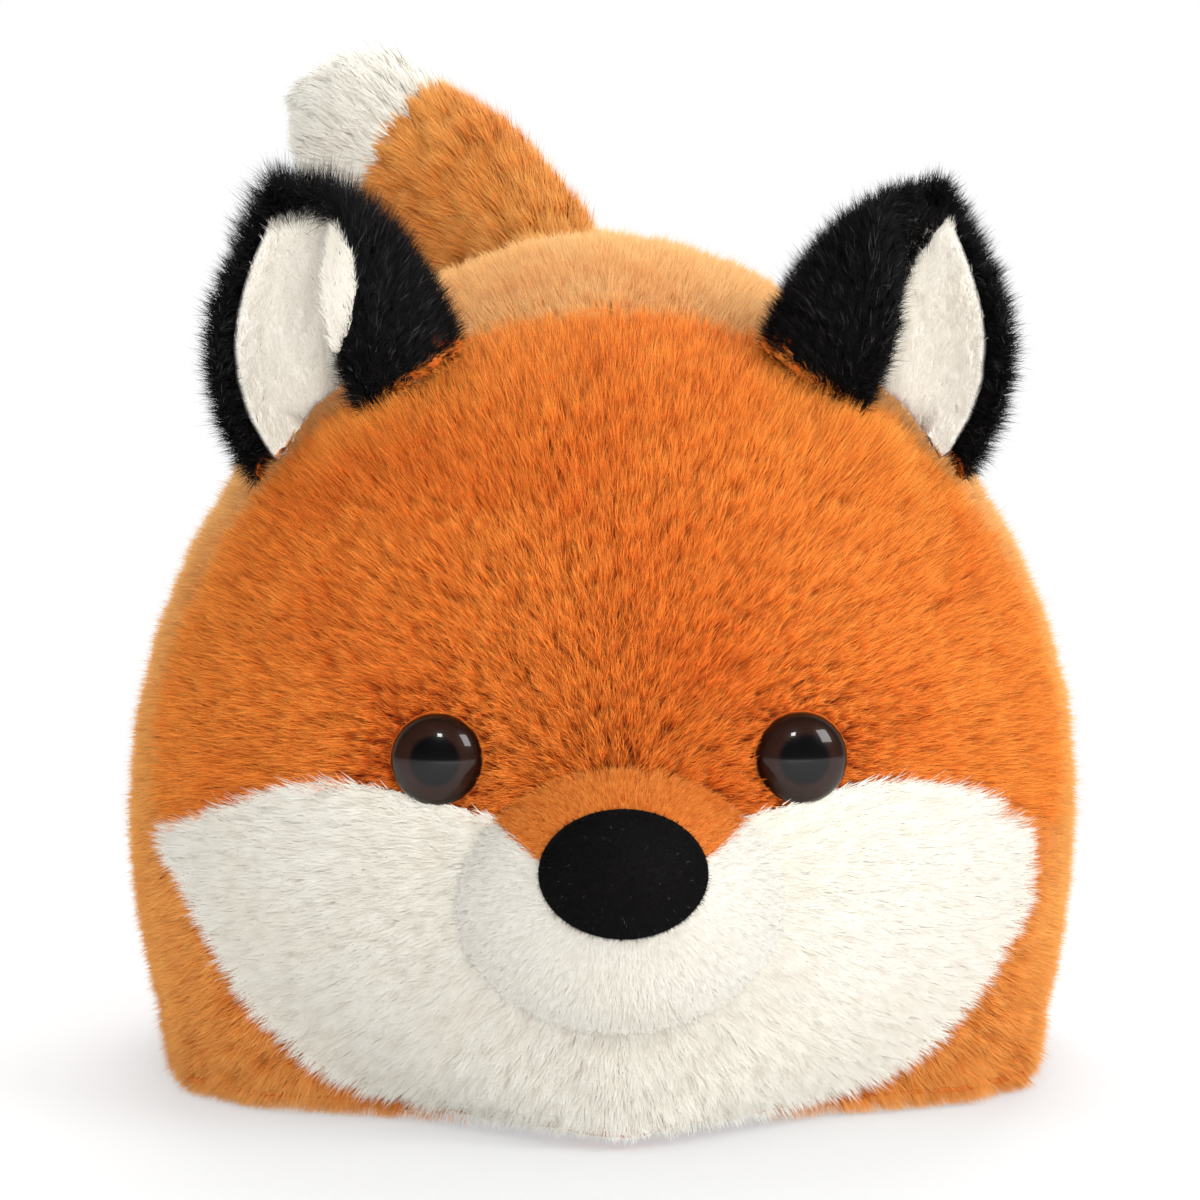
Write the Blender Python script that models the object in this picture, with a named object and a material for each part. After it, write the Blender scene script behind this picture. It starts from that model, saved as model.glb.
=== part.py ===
"""A plush fox: a loaf-shaped soft toy that lies on a flat belly panel.

The face looks along -Y, +X is the right side of the picture and +Z is up.
The origin is on the floor, under the middle of the body.
Each solid of pile fabric reaches from the woven backing to the ends of the pile.
"""

import math

import bmesh
import bpy
from mathutils import Matrix, Vector
from mathutils.bvhtree import BVHTree

# Body sizes, in metres
rump_reach = 0.122
face_reach = 0.106
flank_half_width = 0.1045
flank_height = 0.046
back_height = 0.1815
back_place = 0.034
belly_half_width = 0.0925
head_half_width = 0.0990
head_height = 0.1700
cheek_height = 0.072
head_advance = 0.056
head_base_half_width = 0.0885
face_middle_height = 0.060
rump_middle_height = 0.078
face_seam_advance = 0.050

# Fabric and fitting sizes
seam_gap = 0.0004
touch_gap = 0.0003
weld_distance = 0.00001
pile_wall = 0.0060
belly_wall = 0.0035
overrun = 0.050

# Face seams: how far the places along each seam lie from the middle and above the floor
cheek_corner_reach = 0.0945
cheek_corner_height = 0.0560
cheek_top_height = 0.0720
cheek_corner_rise = 0.0125

# Eyes
eye_spacing = 0.0716
eye_height = 0.0780
eye_diameter = 0.0180
eye_dome_height = 0.0056
eye_rim_height = 0.0010
eye_sink = 0.0036
pupil_diameter = 0.0096
pupil_thickness = 0.0012
post_diameter = 0.0040
post_length = 0.0125
post_rib_height = 0.0003
post_rib_pitch = 0.0024
post_hole_clearance = 0.0003
washer_diameter = 0.0150
washer_thickness = 0.0014
washer_bore_clearance = 0.00015

# Muzzle and nose
muzzle_half_width = 0.0352
muzzle_half_height = 0.0295
muzzle_half_depth = 0.0340
muzzle_setback = 0.0160
muzzle_place = muzzle_setback - face_reach
muzzle_height = 0.0505
muzzle_wall = 0.0040
nose_half_width = 0.0161
nose_half_height = 0.0118
nose_height = 0.0582
nose_thickness = 0.0048

# Ears
ear_length = 0.0505
ear_half_width = 0.0267
ear_half_depth = 0.0160
ear_root_depth = 0.0200
ear_wall = 0.0038
ear_lining_wall = 0.0026
ear_spacing = 0.1060
ear_advance = 0.0560
ear_lean = math.radians(17)
ear_base_slope = math.radians(-29)
ear_outer_end_curl = math.radians(35)
ear_outer_middle_curl = math.radians(86)
ear_inner_root_curl = math.radians(176)
ear_inner_tip_curl = math.radians(62)
ear_forward_limit = math.radians(10)
ear_back_limit = math.radians(15)
smooth_limit = math.radians(40)

# Tail
tail_root_place = 0.0960
tail_root_lift = 0.0015
tail_length = 0.1150
tail_radius = 0.0215
tail_root_radius = 0.0150
tail_wall = 0.0055
tail_tip_start_share = 0.675
tail_socket_clearance = 0.0006
tail_wad_radius = 0.0070
tail_stalk_radius = 0.0032
tail_root_opening = 0.0110

# Bead pouch
pouch_half_width = 0.0480
pouch_half_length = 0.0560
pouch_height = 0.0200
pouch_place = 0.0150

# Fineness of the round forms
body_segments = 36
body_rings = 20
small_segments = 18
small_rings = 10


def clear_scene():
    for old in list(bpy.data.objects):
        bpy.data.objects.remove(old, do_unlink=True)


# Finishes

def linear(share):
    if share <= 0.04045:
        return share / 12.92
    return ((share + 0.055) / 1.055) ** 2.4


def finish(name, red, green, blue, roughness, metallic=0.0):
    material = bpy.data.materials.new(name)
    material.use_nodes = True
    shader = material.node_tree.nodes["Principled BSDF"]
    shader.inputs["Base Color"].default_value = (linear(red), linear(green), linear(blue), 1.0)
    shader.inputs["Roughness"].default_value = roughness
    shader.inputs["Metallic"].default_value = metallic
    return material


# Mesh helpers

def object_from(name, mesh_maker, material=None):
    """Makes a named object from a filled bmesh, shaded smooth."""
    mesh = bpy.data.meshes.new(name)
    mesh_maker.to_mesh(mesh)
    mesh_maker.free()
    mesh.shade_smooth()
    mesh.set_sharp_from_angle(angle=smooth_limit)
    made = bpy.data.objects.new(name, mesh)
    bpy.context.scene.collection.objects.link(made)
    if material:
        mesh.materials.append(material)
    return made


def cutter_from(name, mesh_maker):
    """Makes a helper that shapes other objects and is never drawn."""
    made = object_from(name, mesh_maker)
    made.hide_render = True
    made.display_type = "WIRE"
    return made


def shape_by(target, operation, cutter):
    boolean = target.modifiers.new(cutter.name, "BOOLEAN")
    boolean.operation = operation
    boolean.solver = "EXACT"
    boolean.object = cutter


def mixed(low, high, share):
    return low + (high - low) * share


def eased(share):
    share = min(max(share, 0.0), 1.0)
    return share * share * (3 - 2 * share)


def through(points, steps):
    """Points of a smooth curve that passes through the given ones."""
    places = [Vector(point) for point in points]
    places = [2 * places[0] - places[1]] + places + [2 * places[-1] - places[-2]]
    curve = []
    for before, start, end, after in zip(places, places[1:], places[2:], places[3:]):
        for step in range(steps):
            t = step / steps
            curve.append(
                0.5 * (
                    2 * start
                    + (end - before) * t
                    + (2 * before - 5 * start + 4 * end - after) * t * t
                    + (3 * start - before - 3 * end + after) * t * t * t
                )
            )
    curve.append(places[-2])
    return curve


def turned(profile, segments):
    """A solid turned about local Z from its (radius, height) outline, top to bottom."""
    shape = bmesh.new()
    points = [shape.verts.new((radius, 0, height)) for radius, height in profile]
    edges = [shape.edges.new(pair) for pair in zip(points, points[1:])]
    bmesh.ops.spin(
        shape,
        geom=points + edges,
        axis=(0, 0, 1),
        cent=(0, 0, 0),
        angle=2 * math.pi,
        steps=segments,
        use_merge=True,
    )
    bmesh.ops.remove_doubles(shape, verts=shape.verts, dist=weld_distance)
    bmesh.ops.recalc_face_normals(shape, faces=shape.faces)
    return shape


def prism(name, outline, start, end):
    """A cutter whose front outline, given as (x, z) points, runs along Y."""
    shape = bmesh.new()
    corners = [shape.verts.new((x, start, z)) for x, z in outline]
    face = shape.faces.new(corners)
    grown = bmesh.ops.extrude_face_region(shape, geom=[face])
    moved = [item for item in grown["geom"] if isinstance(item, bmesh.types.BMVert)]
    bmesh.ops.translate(shape, verts=moved, vec=(0, end - start, 0))
    bmesh.ops.recalc_face_normals(shape, faces=shape.faces)
    return cutter_from(name, shape)


def block(name, low, high):
    shape = bmesh.new()
    bmesh.ops.create_cube(shape, size=1.0)
    size = Vector(high) - Vector(low)
    bmesh.ops.scale(shape, vec=size, verts=shape.verts)
    bmesh.ops.translate(shape, vec=Vector(low) + size / 2, verts=shape.verts)
    return cutter_from(name, shape)


def ball(name, centre, radius, segments):
    shape = bmesh.new()
    bmesh.ops.create_uvsphere(
        shape,
        u_segments=segments,
        v_segments=segments // 2,
        radius=radius,
        matrix=Matrix.Translation(centre),
    )
    return cutter_from(name, shape)


def placed_along(axis, origin):
    """The matrix that stands local Z along an axis at a place."""
    turn = Vector(axis).to_track_quat("Z", "Y").to_matrix().to_4x4()
    return Matrix.Translation(origin) @ turn


# The loaf form of head and body
front_squareness = 2.6
rear_squareness = 2.35
floor_corner = math.radians(153)
chin_flatness = 5
rump_flatness = 3
chin_base_taper = 6
foot_shoulder_end = 0.88
foot_shoulder_start = 0.94
rear_base_taper = 3
crown_fullness = 1.88
wall_fullness = 0.7


def front_foot(ring):
    """The base's share of its full width: square front corners, with the chin ahead of them."""
    squared = eased((ring - foot_shoulder_end) / (foot_shoulder_start - foot_shoulder_end))
    return mixed(ring ** chin_base_taper, ring, squared)


def loaf_place(direction, inset, floor_inset):
    """Where a direction from the middle of the body meets its surface, drawn in by inset."""
    front = direction.y < 0
    squareness = front_squareness if front else rear_squareness
    reach = (face_reach if front else rump_reach) - inset
    ring = math.sqrt(max(0.0, 1 - direction.y ** 2)) ** (2 / squareness)
    along = math.copysign(reach * abs(direction.y) ** (2 / squareness), direction.y)
    share = eased((along + head_advance) / (back_place + head_advance))
    half_width = (mixed(head_half_width, flank_half_width, share) - inset) * ring
    taper = front_foot(ring) if front else ring ** rear_base_taper
    foot_half_width = mixed(head_base_half_width, belly_half_width, share)
    base_half_width = (foot_half_width - inset) * taper
    middle = mixed(face_middle_height, rump_middle_height, eased((along / rump_reach + 1) / 2))
    top = middle + (mixed(head_height, back_height, share) - inset - middle) * ring
    level = middle + (mixed(cheek_height, flank_height, share) - middle) * ring
    flatness = chin_flatness if front else rump_flatness
    floor = middle + (floor_inset - middle) * (1 - (1 - ring) ** flatness)
    turn = math.atan2(abs(direction.x), direction.z)
    side = math.copysign(1.0, direction.x)
    if turn <= math.pi / 2:
        across = half_width * math.sin(turn) ** (2 / crown_fullness)
        height = level + (top - level) * max(math.cos(turn), 0.0) ** (2 / crown_fullness)
    elif turn <= floor_corner:
        rise = 1 - (turn - math.pi / 2) / (floor_corner - math.pi / 2)
        height = floor + (level - floor) * rise
        fullness = math.sin(math.pi / 2 * rise) ** wall_fullness
        across = base_half_width + (half_width - base_half_width) * fullness
    else:
        across = base_half_width * (math.pi - turn) / (math.pi - floor_corner)
        height = floor
    return Vector((side * across, along, height))


def loaf(inset, floor_inset):
    """The closed loaf form, drawn in by the insets or, with negative ones, grown."""
    shape = bmesh.new()
    bmesh.ops.create_uvsphere(
        shape,
        u_segments=body_segments,
        v_segments=body_rings,
        radius=1.0,
        matrix=Matrix.Rotation(math.pi / 2, 4, "X"),
    )
    for vert in shape.verts:
        vert.co = loaf_place(vert.co.normalized(), inset, floor_inset)
    bmesh.ops.triangulate(shape, faces=shape.faces, quad_method="FIXED")
    bmesh.ops.recalc_face_normals(shape, faces=shape.faces)
    return shape


def surface_tree():
    shape = loaf(0, 0)
    tree = BVHTree.FromBMesh(shape)
    shape.free()
    return tree


def face_spot(tree, x, z):
    """The place and outward direction of the face's surface, seen from the front."""
    place, normal, _, _ = tree.ray_cast(Vector((x, -1, z)), Vector((0, 1, 0)))
    return place, normal


# The sewn panels
cheek_top_shares = (
    (0.00, 0.89), (0.25, 0.92), (0.38, 0.965), (0.51, 1.00), (0.66, 0.99), (0.77, 0.935), (0.88, 0.86)
)
chin_shares = (
    (0.93, 0.85), (0.87, 0.67), (0.79, 0.46), (0.69, 0.27), (0.57, 0.15), (0.42, 0.09), (0.21, 0.06),
    (0.00, 0.045),
)
outline_steps = 3


def cheek_top_line(side, shift):
    points = [(side * x * cheek_corner_reach, z * cheek_top_height + shift) for x, z in cheek_top_shares]
    return through(points + [(side * cheek_corner_reach, cheek_corner_height + shift)], outline_steps)


def chin_line(side, shift):
    points = [(side * x * cheek_corner_reach, z * cheek_corner_height + shift) for x, z in chin_shares]
    return through([(side * cheek_corner_reach, cheek_corner_height + shift)] + points, outline_steps)


def outer_points(side, shift):
    """The part of the face outline that lies clear outside the body."""
    return [
        (side * (cheek_corner_reach + overrun), cheek_corner_height + cheek_corner_rise + shift),
        (side * (cheek_corner_reach + overrun), back_height + overrun),
    ]


def moved_off_middle(points, side, gap):
    """Holds an outline this far from the middle plane."""
    return [(side * max(side * x, gap), z) for x, z in points]


def forehead_outline(side):
    line = cheek_top_line(side, seam_gap / 2)
    outline = line + outer_points(side, 0) + [(0, back_height + overrun)]
    return moved_off_middle(outline, side, seam_gap / 2)


def cheek_outline(side):
    top = cheek_top_line(side, -seam_gap / 2)
    chin = chin_line(side, seam_gap / 2)
    joined = top[:-1] + [(side * (cheek_corner_reach - seam_gap), cheek_corner_height)] + chin[1:]
    return moved_off_middle(joined, side, seam_gap / 2)


def face_clearance_outline():
    """The whole face as seen from the front, grown by the seam gap."""
    right = chin_line(1, -seam_gap / 2)[::-1] + outer_points(1, -seam_gap)
    left = chin_line(-1, -seam_gap / 2)[::-1] + outer_points(-1, -seam_gap)
    return right + left[:0:-1]


def belly_cut(name, low, high):
    reach = flank_half_width + overrun
    return block(name, (-reach, -face_reach - overrun, low), (reach, rump_reach + overrun, high))


def make_panels(finishes, holes):
    inner = cutter_from("inside_of_panels", loaf(pile_wall, belly_wall - touch_gap))
    above_belly = belly_cut("above_belly", belly_wall + touch_gap, back_height + overrun)
    below = belly_cut("belly_layer", -overrun, belly_wall)
    ahead = -face_reach - overrun
    seam = -face_seam_advance - seam_gap / 2
    face_room = prism("room_for_face", face_clearance_outline(), ahead, seam + seam_gap)
    for side, word in ((-1, "left"), (1, "right")):
        for part, outline, colour in (
            ("forehead", forehead_outline(side), "orange_pile"),
            ("cheek", cheek_outline(side), "white_pile"),
        ):
            panel = object_from(f"{part}_panel_{word}", loaf(0, 0), finishes[colour])
            pattern = prism(f"{part}_pattern_{word}", outline, ahead, seam)
            shape_by(panel, "INTERSECT", pattern)
            shape_by(panel, "DIFFERENCE", inner)
            if part == "cheek":
                shape_by(panel, "INTERSECT", above_belly)
            for hole in holes[f"{part}_{word}"]:
                shape_by(panel, "DIFFERENCE", hole)
        near, far = sorted((side * seam_gap / 2, side * (flank_half_width + overrun)))
        low = (near, ahead, belly_wall + touch_gap)
        half = block(f"body_pattern_{word}", low, (far, -ahead, back_height + overrun))
        panel = object_from(f"body_panel_{word}", loaf(0, 0), finishes["orange_pile"])
        shape_by(panel, "INTERSECT", half)
        shape_by(panel, "DIFFERENCE", face_room)
        shape_by(panel, "DIFFERENCE", inner)
        for hole in holes["body"]:
            shape_by(panel, "DIFFERENCE", hole)
    belly = object_from("belly_panel", loaf(0, 0), finishes["belly_fabric"])
    shape_by(belly, "INTERSECT", below)


# Stuffing and bead pouch
pouch_shares = ((0.0, 1.0), (0.35, 0.97), (0.65, 0.84), (0.86, 0.58), (0.97, 0.26), (1.0, 0.0))


def pouch_solid(margin, drop):
    """The domed pouch on its flat underside, with its foot lowered by drop."""
    foot = belly_wall + touch_gap
    dome = [(across, foot - margin + (pouch_height + 2 * margin) * up) for across, up in pouch_shares]
    if drop:
        dome.append((1.0, foot - drop))
    shape = turned(dome + [(0.0, foot - drop)], small_segments)
    size = (pouch_half_width + margin, pouch_half_length + margin, 1.0)
    bmesh.ops.scale(shape, vec=size, verts=shape.verts)
    bmesh.ops.translate(shape, vec=(0, pouch_place, 0), verts=shape.verts)
    return shape


def make_stuffing(finishes, holes):
    filling = loaf(pile_wall + touch_gap, belly_wall + touch_gap)
    core = object_from("body_stuffing", filling, finishes["fibre"])
    pouch_room = cutter_from("room_for_pouch", pouch_solid(touch_gap, overrun))
    shape_by(core, "DIFFERENCE", pouch_room)
    for hole in holes["core"]:
        shape_by(core, "DIFFERENCE", hole)
    object_from("bead_pouch", pouch_solid(0, 0), finishes["pouch_cloth"])


# Eyes
dome_shares = (
    (1.00, 0.00), (0.97, 0.25), (0.88, 0.50), (0.72, 0.72), (0.50, 0.88), (0.26, 0.97), (0.00, 1.00)
)


def eye_dome():
    radius = eye_diameter / 2
    recess = pupil_diameter / 2 + touch_gap / 2
    depth = pupil_thickness + touch_gap / 2
    crown = [(radius * x, mixed(eye_rim_height, eye_dome_height, z)) for x, z in dome_shares]
    return turned(crown[::-1] + [(radius, 0), (recess, 0), (recess, depth), (0, depth)], small_segments)


def eye_post():
    """The pupil disc with its ribbed post, which the washer grips."""
    disc = pupil_diameter / 2
    shaft = post_diameter / 2
    profile = [(0, pupil_thickness), (disc, pupil_thickness), (disc, 0), (shaft, 0)]
    first_rib = washer_top() + washer_thickness + touch_gap
    depth = first_rib
    while depth + post_rib_pitch < post_length:
        profile += [
            (shaft, -depth),
            (shaft + post_rib_height, -depth - post_rib_pitch / 4),
            (shaft, -depth - post_rib_pitch / 2),
        ]
        depth += post_rib_pitch
    profile += [(shaft, -post_length + shaft / 2), (shaft / 2, -post_length), (0, -post_length)]
    return turned(profile, small_segments // 2)


def washer_top():
    """Depth of the washer's outer face under the back of the eye."""
    return pile_wall - eye_sink + touch_gap


def eye_washer():
    bore = post_diameter / 2 + washer_bore_clearance
    rim = washer_diameter / 2
    top = -washer_top()
    low = top - washer_thickness
    profile = [(bore, top), (rim, top), (rim, low), (bore, low), (bore, top)]
    return turned(profile, small_segments)


def stepped_hole(name, matrix, steps):
    """A turned cutter of (radius, depth) steps, from the outside inwards."""
    profile = [(0, overrun)]
    height = overrun
    for radius, depth in steps:
        profile += [(radius, height), (radius, -depth)]
        height = -depth
    hole = cutter_from(name, turned(profile + [(0, height)], small_segments))
    hole.matrix_world = matrix
    return hole


def make_eyes(finishes, tree, holes):
    shaft = post_diameter / 2 + post_rib_height + post_hole_clearance
    steps = (
        (eye_diameter / 2 + touch_gap, touch_gap),
        (shaft, washer_top() - touch_gap),
        (washer_diameter / 2 + touch_gap, washer_top() + washer_thickness + touch_gap),
        (shaft, post_length + touch_gap),
    )
    for side, word in ((-1, "left"), (1, "right")):
        place, normal = face_spot(tree, side * eye_spacing / 2, eye_height)
        aim = (normal + Vector((0, -1, 0))).normalized()
        matrix = placed_along(aim, place - aim * eye_sink)
        for name, shape, colour in (
            (f"eye_dome_{word}", eye_dome(), "eye_brown"),
            (f"eye_post_{word}", eye_post(), "eye_black"),
            (f"eye_washer_{word}", eye_washer(), "washer_white"),
        ):
            object_from(name, shape, finishes[colour]).matrix_world = matrix
        seat = stepped_hole(f"eye_seat_{word}", matrix, steps)
        for user in (f"forehead_{word}", f"cheek_{word}", "core"):
            holes[user].append(seat)


# Muzzle and nose
muzzle_line_shares = (
    (2.60, 0.66), (1.20, 0.66), (0.95, 0.64), (0.74, 0.60), (0.52, 0.40), (0.28, 0.27), (0.00, 0.22)
)


def muzzle_form(inset):
    shape = bmesh.new()
    bmesh.ops.create_uvsphere(
        shape,
        u_segments=small_segments + small_segments // 3,
        v_segments=small_segments * 2 // 3,
        radius=1.0,
        matrix=Matrix.Rotation(math.pi / 2, 4, "X"),
    )
    size = Vector((muzzle_half_width - inset, muzzle_half_depth - inset, muzzle_half_height - inset))
    bmesh.ops.scale(shape, vec=size, verts=shape.verts)
    bmesh.ops.translate(shape, vec=(0, muzzle_place, muzzle_height), verts=shape.verts)
    return shape


def muzzle_line(shift):
    line = muzzle_line_shares
    half = [(x * muzzle_half_width, muzzle_height + z * muzzle_half_height + shift) for x, z in line]
    right = through(half, outline_steps)
    return [(-x, z) for x, z in right[:-1]] + right[::-1]


def make_muzzle(finishes):
    head_room = cutter_from("room_for_head", loaf(-touch_gap, -touch_gap))
    hollow = cutter_from("inside_of_muzzle", muzzle_form(muzzle_wall))
    front = muzzle_place - muzzle_half_depth - overrun
    above = muzzle_height + muzzle_half_height + overrun
    below = muzzle_height - muzzle_half_height - overrun
    wide = muzzle_half_width * muzzle_line_shares[0][0]
    top_outline = muzzle_line(seam_gap / 2) + [(wide, above), (-wide, above)]
    low_outline = muzzle_line(-seam_gap / 2) + [(wide, below), (-wide, below)]
    for name, outline, colour in (
        ("muzzle_top", top_outline, "orange_short_pile"),
        ("muzzle_lower", low_outline, "white_short_pile"),
    ):
        piece = object_from(name, muzzle_form(0), finishes[colour])
        shape_by(piece, "INTERSECT", prism(f"{name}_pattern", outline, front, overrun))
        shape_by(piece, "DIFFERENCE", hollow)
        shape_by(piece, "DIFFERENCE", head_room)
    filling = muzzle_form(muzzle_wall + touch_gap)
    stuffing = object_from("muzzle_stuffing", filling, finishes["fibre"])
    shape_by(stuffing, "DIFFERENCE", head_room)


def muzzle_front(x, z, grow):
    """How far forward the muzzle's surface lies at a place seen from the front."""
    wide = x / (muzzle_half_width + grow)
    high = (z - muzzle_height) / (muzzle_half_height + grow)
    return muzzle_place - (muzzle_half_depth + grow) * math.sqrt(max(0.0, 1 - wide ** 2 - high ** 2))


nose_fullness = 0.75


def make_nose(finishes):
    """The nose is a pad that follows the curve of the muzzle behind it."""
    shape = bmesh.new()
    bmesh.ops.create_uvsphere(
        shape,
        u_segments=small_segments,
        v_segments=small_rings,
        radius=1.0,
        matrix=Matrix.Rotation(math.pi / 2, 4, "X"),
    )
    for vert in shape.verts:
        x = nose_half_width * vert.co.x
        z = nose_height + nose_half_height * vert.co.z
        forward = nose_thickness * max(-vert.co.y, 0.0) ** nose_fullness
        vert.co = (x, muzzle_front(x, z, 2 * touch_gap) - forward, z)
    bmesh.ops.recalc_face_normals(shape, faces=shape.faces)
    object_from("nose", shape, finishes["nose_velour"])


# Ears
ear_rows = 11
ear_columns = 12
ear_outline_power = 2.6
ear_outline_root = 0.7
ear_tip_share = 0.07
ear_row_crowding = 1.5
ear_unrolling = 5


def ear_breadth(up):
    """The ear's half breadth at a share of its length, as a share of the root's."""
    up = min(max(up, 0.0), 1.0)
    return max((1 - up ** ear_outline_power) ** ear_outline_root, ear_tip_share)


def ear_sheet(side, base, depth, margin):
    """The curled sheet that a layer grows inwards from, depth inside the ear and margin cells smaller.

    Its outer edge stays at the side and its inner edge is rolled round to the front.
    """
    up = Vector((side * math.sin(ear_lean), 0, math.cos(ear_lean)))
    inwards = Vector((-side * math.cos(ear_lean), 0, math.sin(ear_lean))) * ear_half_width
    back = Vector((0, ear_half_depth, 0))
    shape = bmesh.new()
    rows = []
    for row in range(ear_rows + 1):
        rise = mixed(ear_length, -ear_root_depth, (1 - row / ear_rows) ** ear_row_crowding)
        share = min(max(rise / ear_length, 0.0), 1.0)
        reach = (rise + ear_root_depth) / (ear_length + ear_root_depth)
        outer_curl = mixed(ear_outer_end_curl, ear_outer_middle_curl, math.sin(math.pi * reach))
        inner_curl = mixed(ear_inner_root_curl, ear_inner_tip_curl, share ** ear_unrolling)
        breadth = ear_breadth(share)
        line = []
        for column in range(ear_columns + 1):
            turn = mixed(-outer_curl, inner_curl, column / ear_columns)
            around = (inwards * math.sin(turn) + back * math.cos(turn)) * breadth
            line.append(shape.verts.new(base + up * rise + around))
        rows.append(line)
    for low, high in zip(rows, rows[1:]):
        for column in range(ear_columns):
            shape.faces.new((low[column], low[column + 1], high[column + 1], high[column]))
    bmesh.ops.triangulate(shape, faces=shape.faces, quad_method="FIXED")
    if side > 0:
        bmesh.ops.reverse_faces(shape, faces=shape.faces)
    shape.normal_update()
    for vert, normal in [(vert, vert.normal.copy()) for vert in shape.verts]:
        vert.co += normal * depth
    if margin:
        kept_rows = rows[:-2 * margin]
        kept = {vert for line in kept_rows for vert in line[margin:-margin]}
        trimmed = [vert for vert in shape.verts if vert not in kept]
        bmesh.ops.delete(shape, geom=trimmed, context="VERTS")
    return shape


def ear_hinge(tree, side):
    """The middle of the ear's sewn base on the head, and the line that it bends about."""
    start = Vector((side * ear_spacing / 2, -ear_advance, back_height + overrun))
    place, _, _, _ = tree.ray_cast(start, Vector((0, 0, -1)))
    axis = Vector((math.cos(ear_base_slope), 0, side * math.sin(ear_base_slope)))
    return place, axis


def make_ears(finishes, tree):
    grown = loaf(-touch_gap, -touch_gap)
    head_mesh = bpy.data.meshes.new("head_under_ears")
    grown.to_mesh(head_mesh)
    grown.free()
    for side, word in ((-1, "left"), (1, "right")):
        place, axis = ear_hinge(tree, side)
        hinge = bpy.data.objects.new(f"ear_hinge_{word}", None)
        hinge.location = place
        bpy.context.scene.collection.objects.link(hinge)
        bpy.context.view_layer.update()
        heads = []
        for angle in (-ear_forward_limit, 0.0, ear_back_limit):
            head = bpy.data.objects.new(f"head_under_ear_{word}_{len(heads)}", head_mesh)
            bpy.context.scene.collection.objects.link(head)
            head.hide_render = True
            head.display_type = "WIRE"
            turn = Matrix.Rotation(angle, 4, axis)
            head.matrix_world = Matrix.Translation(place) @ turn @ Matrix.Translation(-place)
            heads.append(head)
        for name, depth, margin, wall, colour in (
            ("ear_outer", 0.0, 0, ear_wall, "black_pile"),
            ("ear_lining", ear_wall + touch_gap, 1, ear_lining_wall, "lining_pile"),
        ):
            sheet = ear_sheet(side, place, depth, margin)
            piece = object_from(f"{name}_{word}", sheet, finishes[colour])
            solidify = piece.modifiers.new("wall", "SOLIDIFY")
            solidify.thickness = wall
            solidify.offset = 1
            for head in heads:
                shape_by(piece, "DIFFERENCE", head)
            piece.parent = hinge
            piece.matrix_parent_inverse = hinge.matrix_world.inverted()


# Tail
tail_path_shares = (
    (0.00, 0.00, 0.00), (-0.07, 0.14, 0.12), (-0.25, 0.27, 0.32), (-0.42, 0.34, 0.44), (-0.61, 0.39, 0.54)
)
tail_radius_shares = (
    (0.00, 0.66), (0.12, 0.62), (0.30, 0.84), (0.48, 0.96), (0.66, 0.90), (0.82, 0.92), (0.93, 0.68),
    (1.00, 0.20),
)
tail_rings = 10
tail_sides = 14


def tail_root(tree):
    """The point on the rump about which the sewn tail bends, and the rump's direction there."""
    start = Vector((0, tail_root_place, back_height + overrun))
    place, normal, _, _ = tree.ray_cast(start, Vector((0, 0, -1)))
    return place + normal * tail_root_lift, normal


def tail_line(root):
    return through([root + Vector(share) * tail_length for share in tail_path_shares], tail_rings)


def tail_breadth(share):
    for (low, first), (high, last) in zip(tail_radius_shares, tail_radius_shares[1:]):
        if share <= high:
            part = (share - low) / (high - low)
            return tail_radius * mixed(first, last, mixed(part, eased(part), 1 / 2))
    return tail_radius * tail_radius_shares[-1][1]


def tail_form(root, inset):
    """A closed, round-ended form along the tail's line, drawn in by inset."""
    line = tail_line(root)
    shape = bmesh.new()
    last = len(line) - 1
    for ring in range(tail_rings + 1):
        share = ring / tail_rings
        spot = share * (1 - inset / tail_length) * last
        index = min(int(spot), last - 1)
        centre = line[index].lerp(line[index + 1], spot - index)
        heading = (line[index + 1] - line[index]).normalized()
        radius = tail_breadth(share) * (1 - inset / tail_radius)
        turn = placed_along(heading, centre)
        bmesh.ops.create_circle(shape, segments=tail_sides, radius=radius, matrix=turn)
    bmesh.ops.bridge_loops(shape, edges=list(shape.edges))
    bmesh.ops.holes_fill(shape, edges=[edge for edge in shape.edges if edge.is_boundary])
    bmesh.ops.recalc_face_normals(shape, faces=shape.faces)
    return shape


def tail_cut(name, root, share, margin, forward):
    """A block whose end face crosses the tail square to its line at a share of its length."""
    line = tail_line(root)
    spot = int(share * (len(line) - 1))
    heading = (line[spot + 1] - line[spot]).normalized()
    shape = bmesh.new()
    bmesh.ops.create_cube(shape, size=tail_length * 2)
    way = 1 if forward else -1
    lift = Matrix.Translation((0, 0, way * (tail_length + margin)))
    bmesh.ops.transform(shape, matrix=placed_along(heading, line[spot]) @ lift, verts=shape.verts)
    return cutter_from(name, shape)


def tail_mass(name, root, inset, material):
    """The tail's form joined to its ball-shaped root."""
    piece = object_from(name, tail_form(root, inset), material)
    shape_by(piece, "UNION", ball(f"root_of_{name}", root, tail_root_radius - inset, tail_sides))
    return piece


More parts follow.
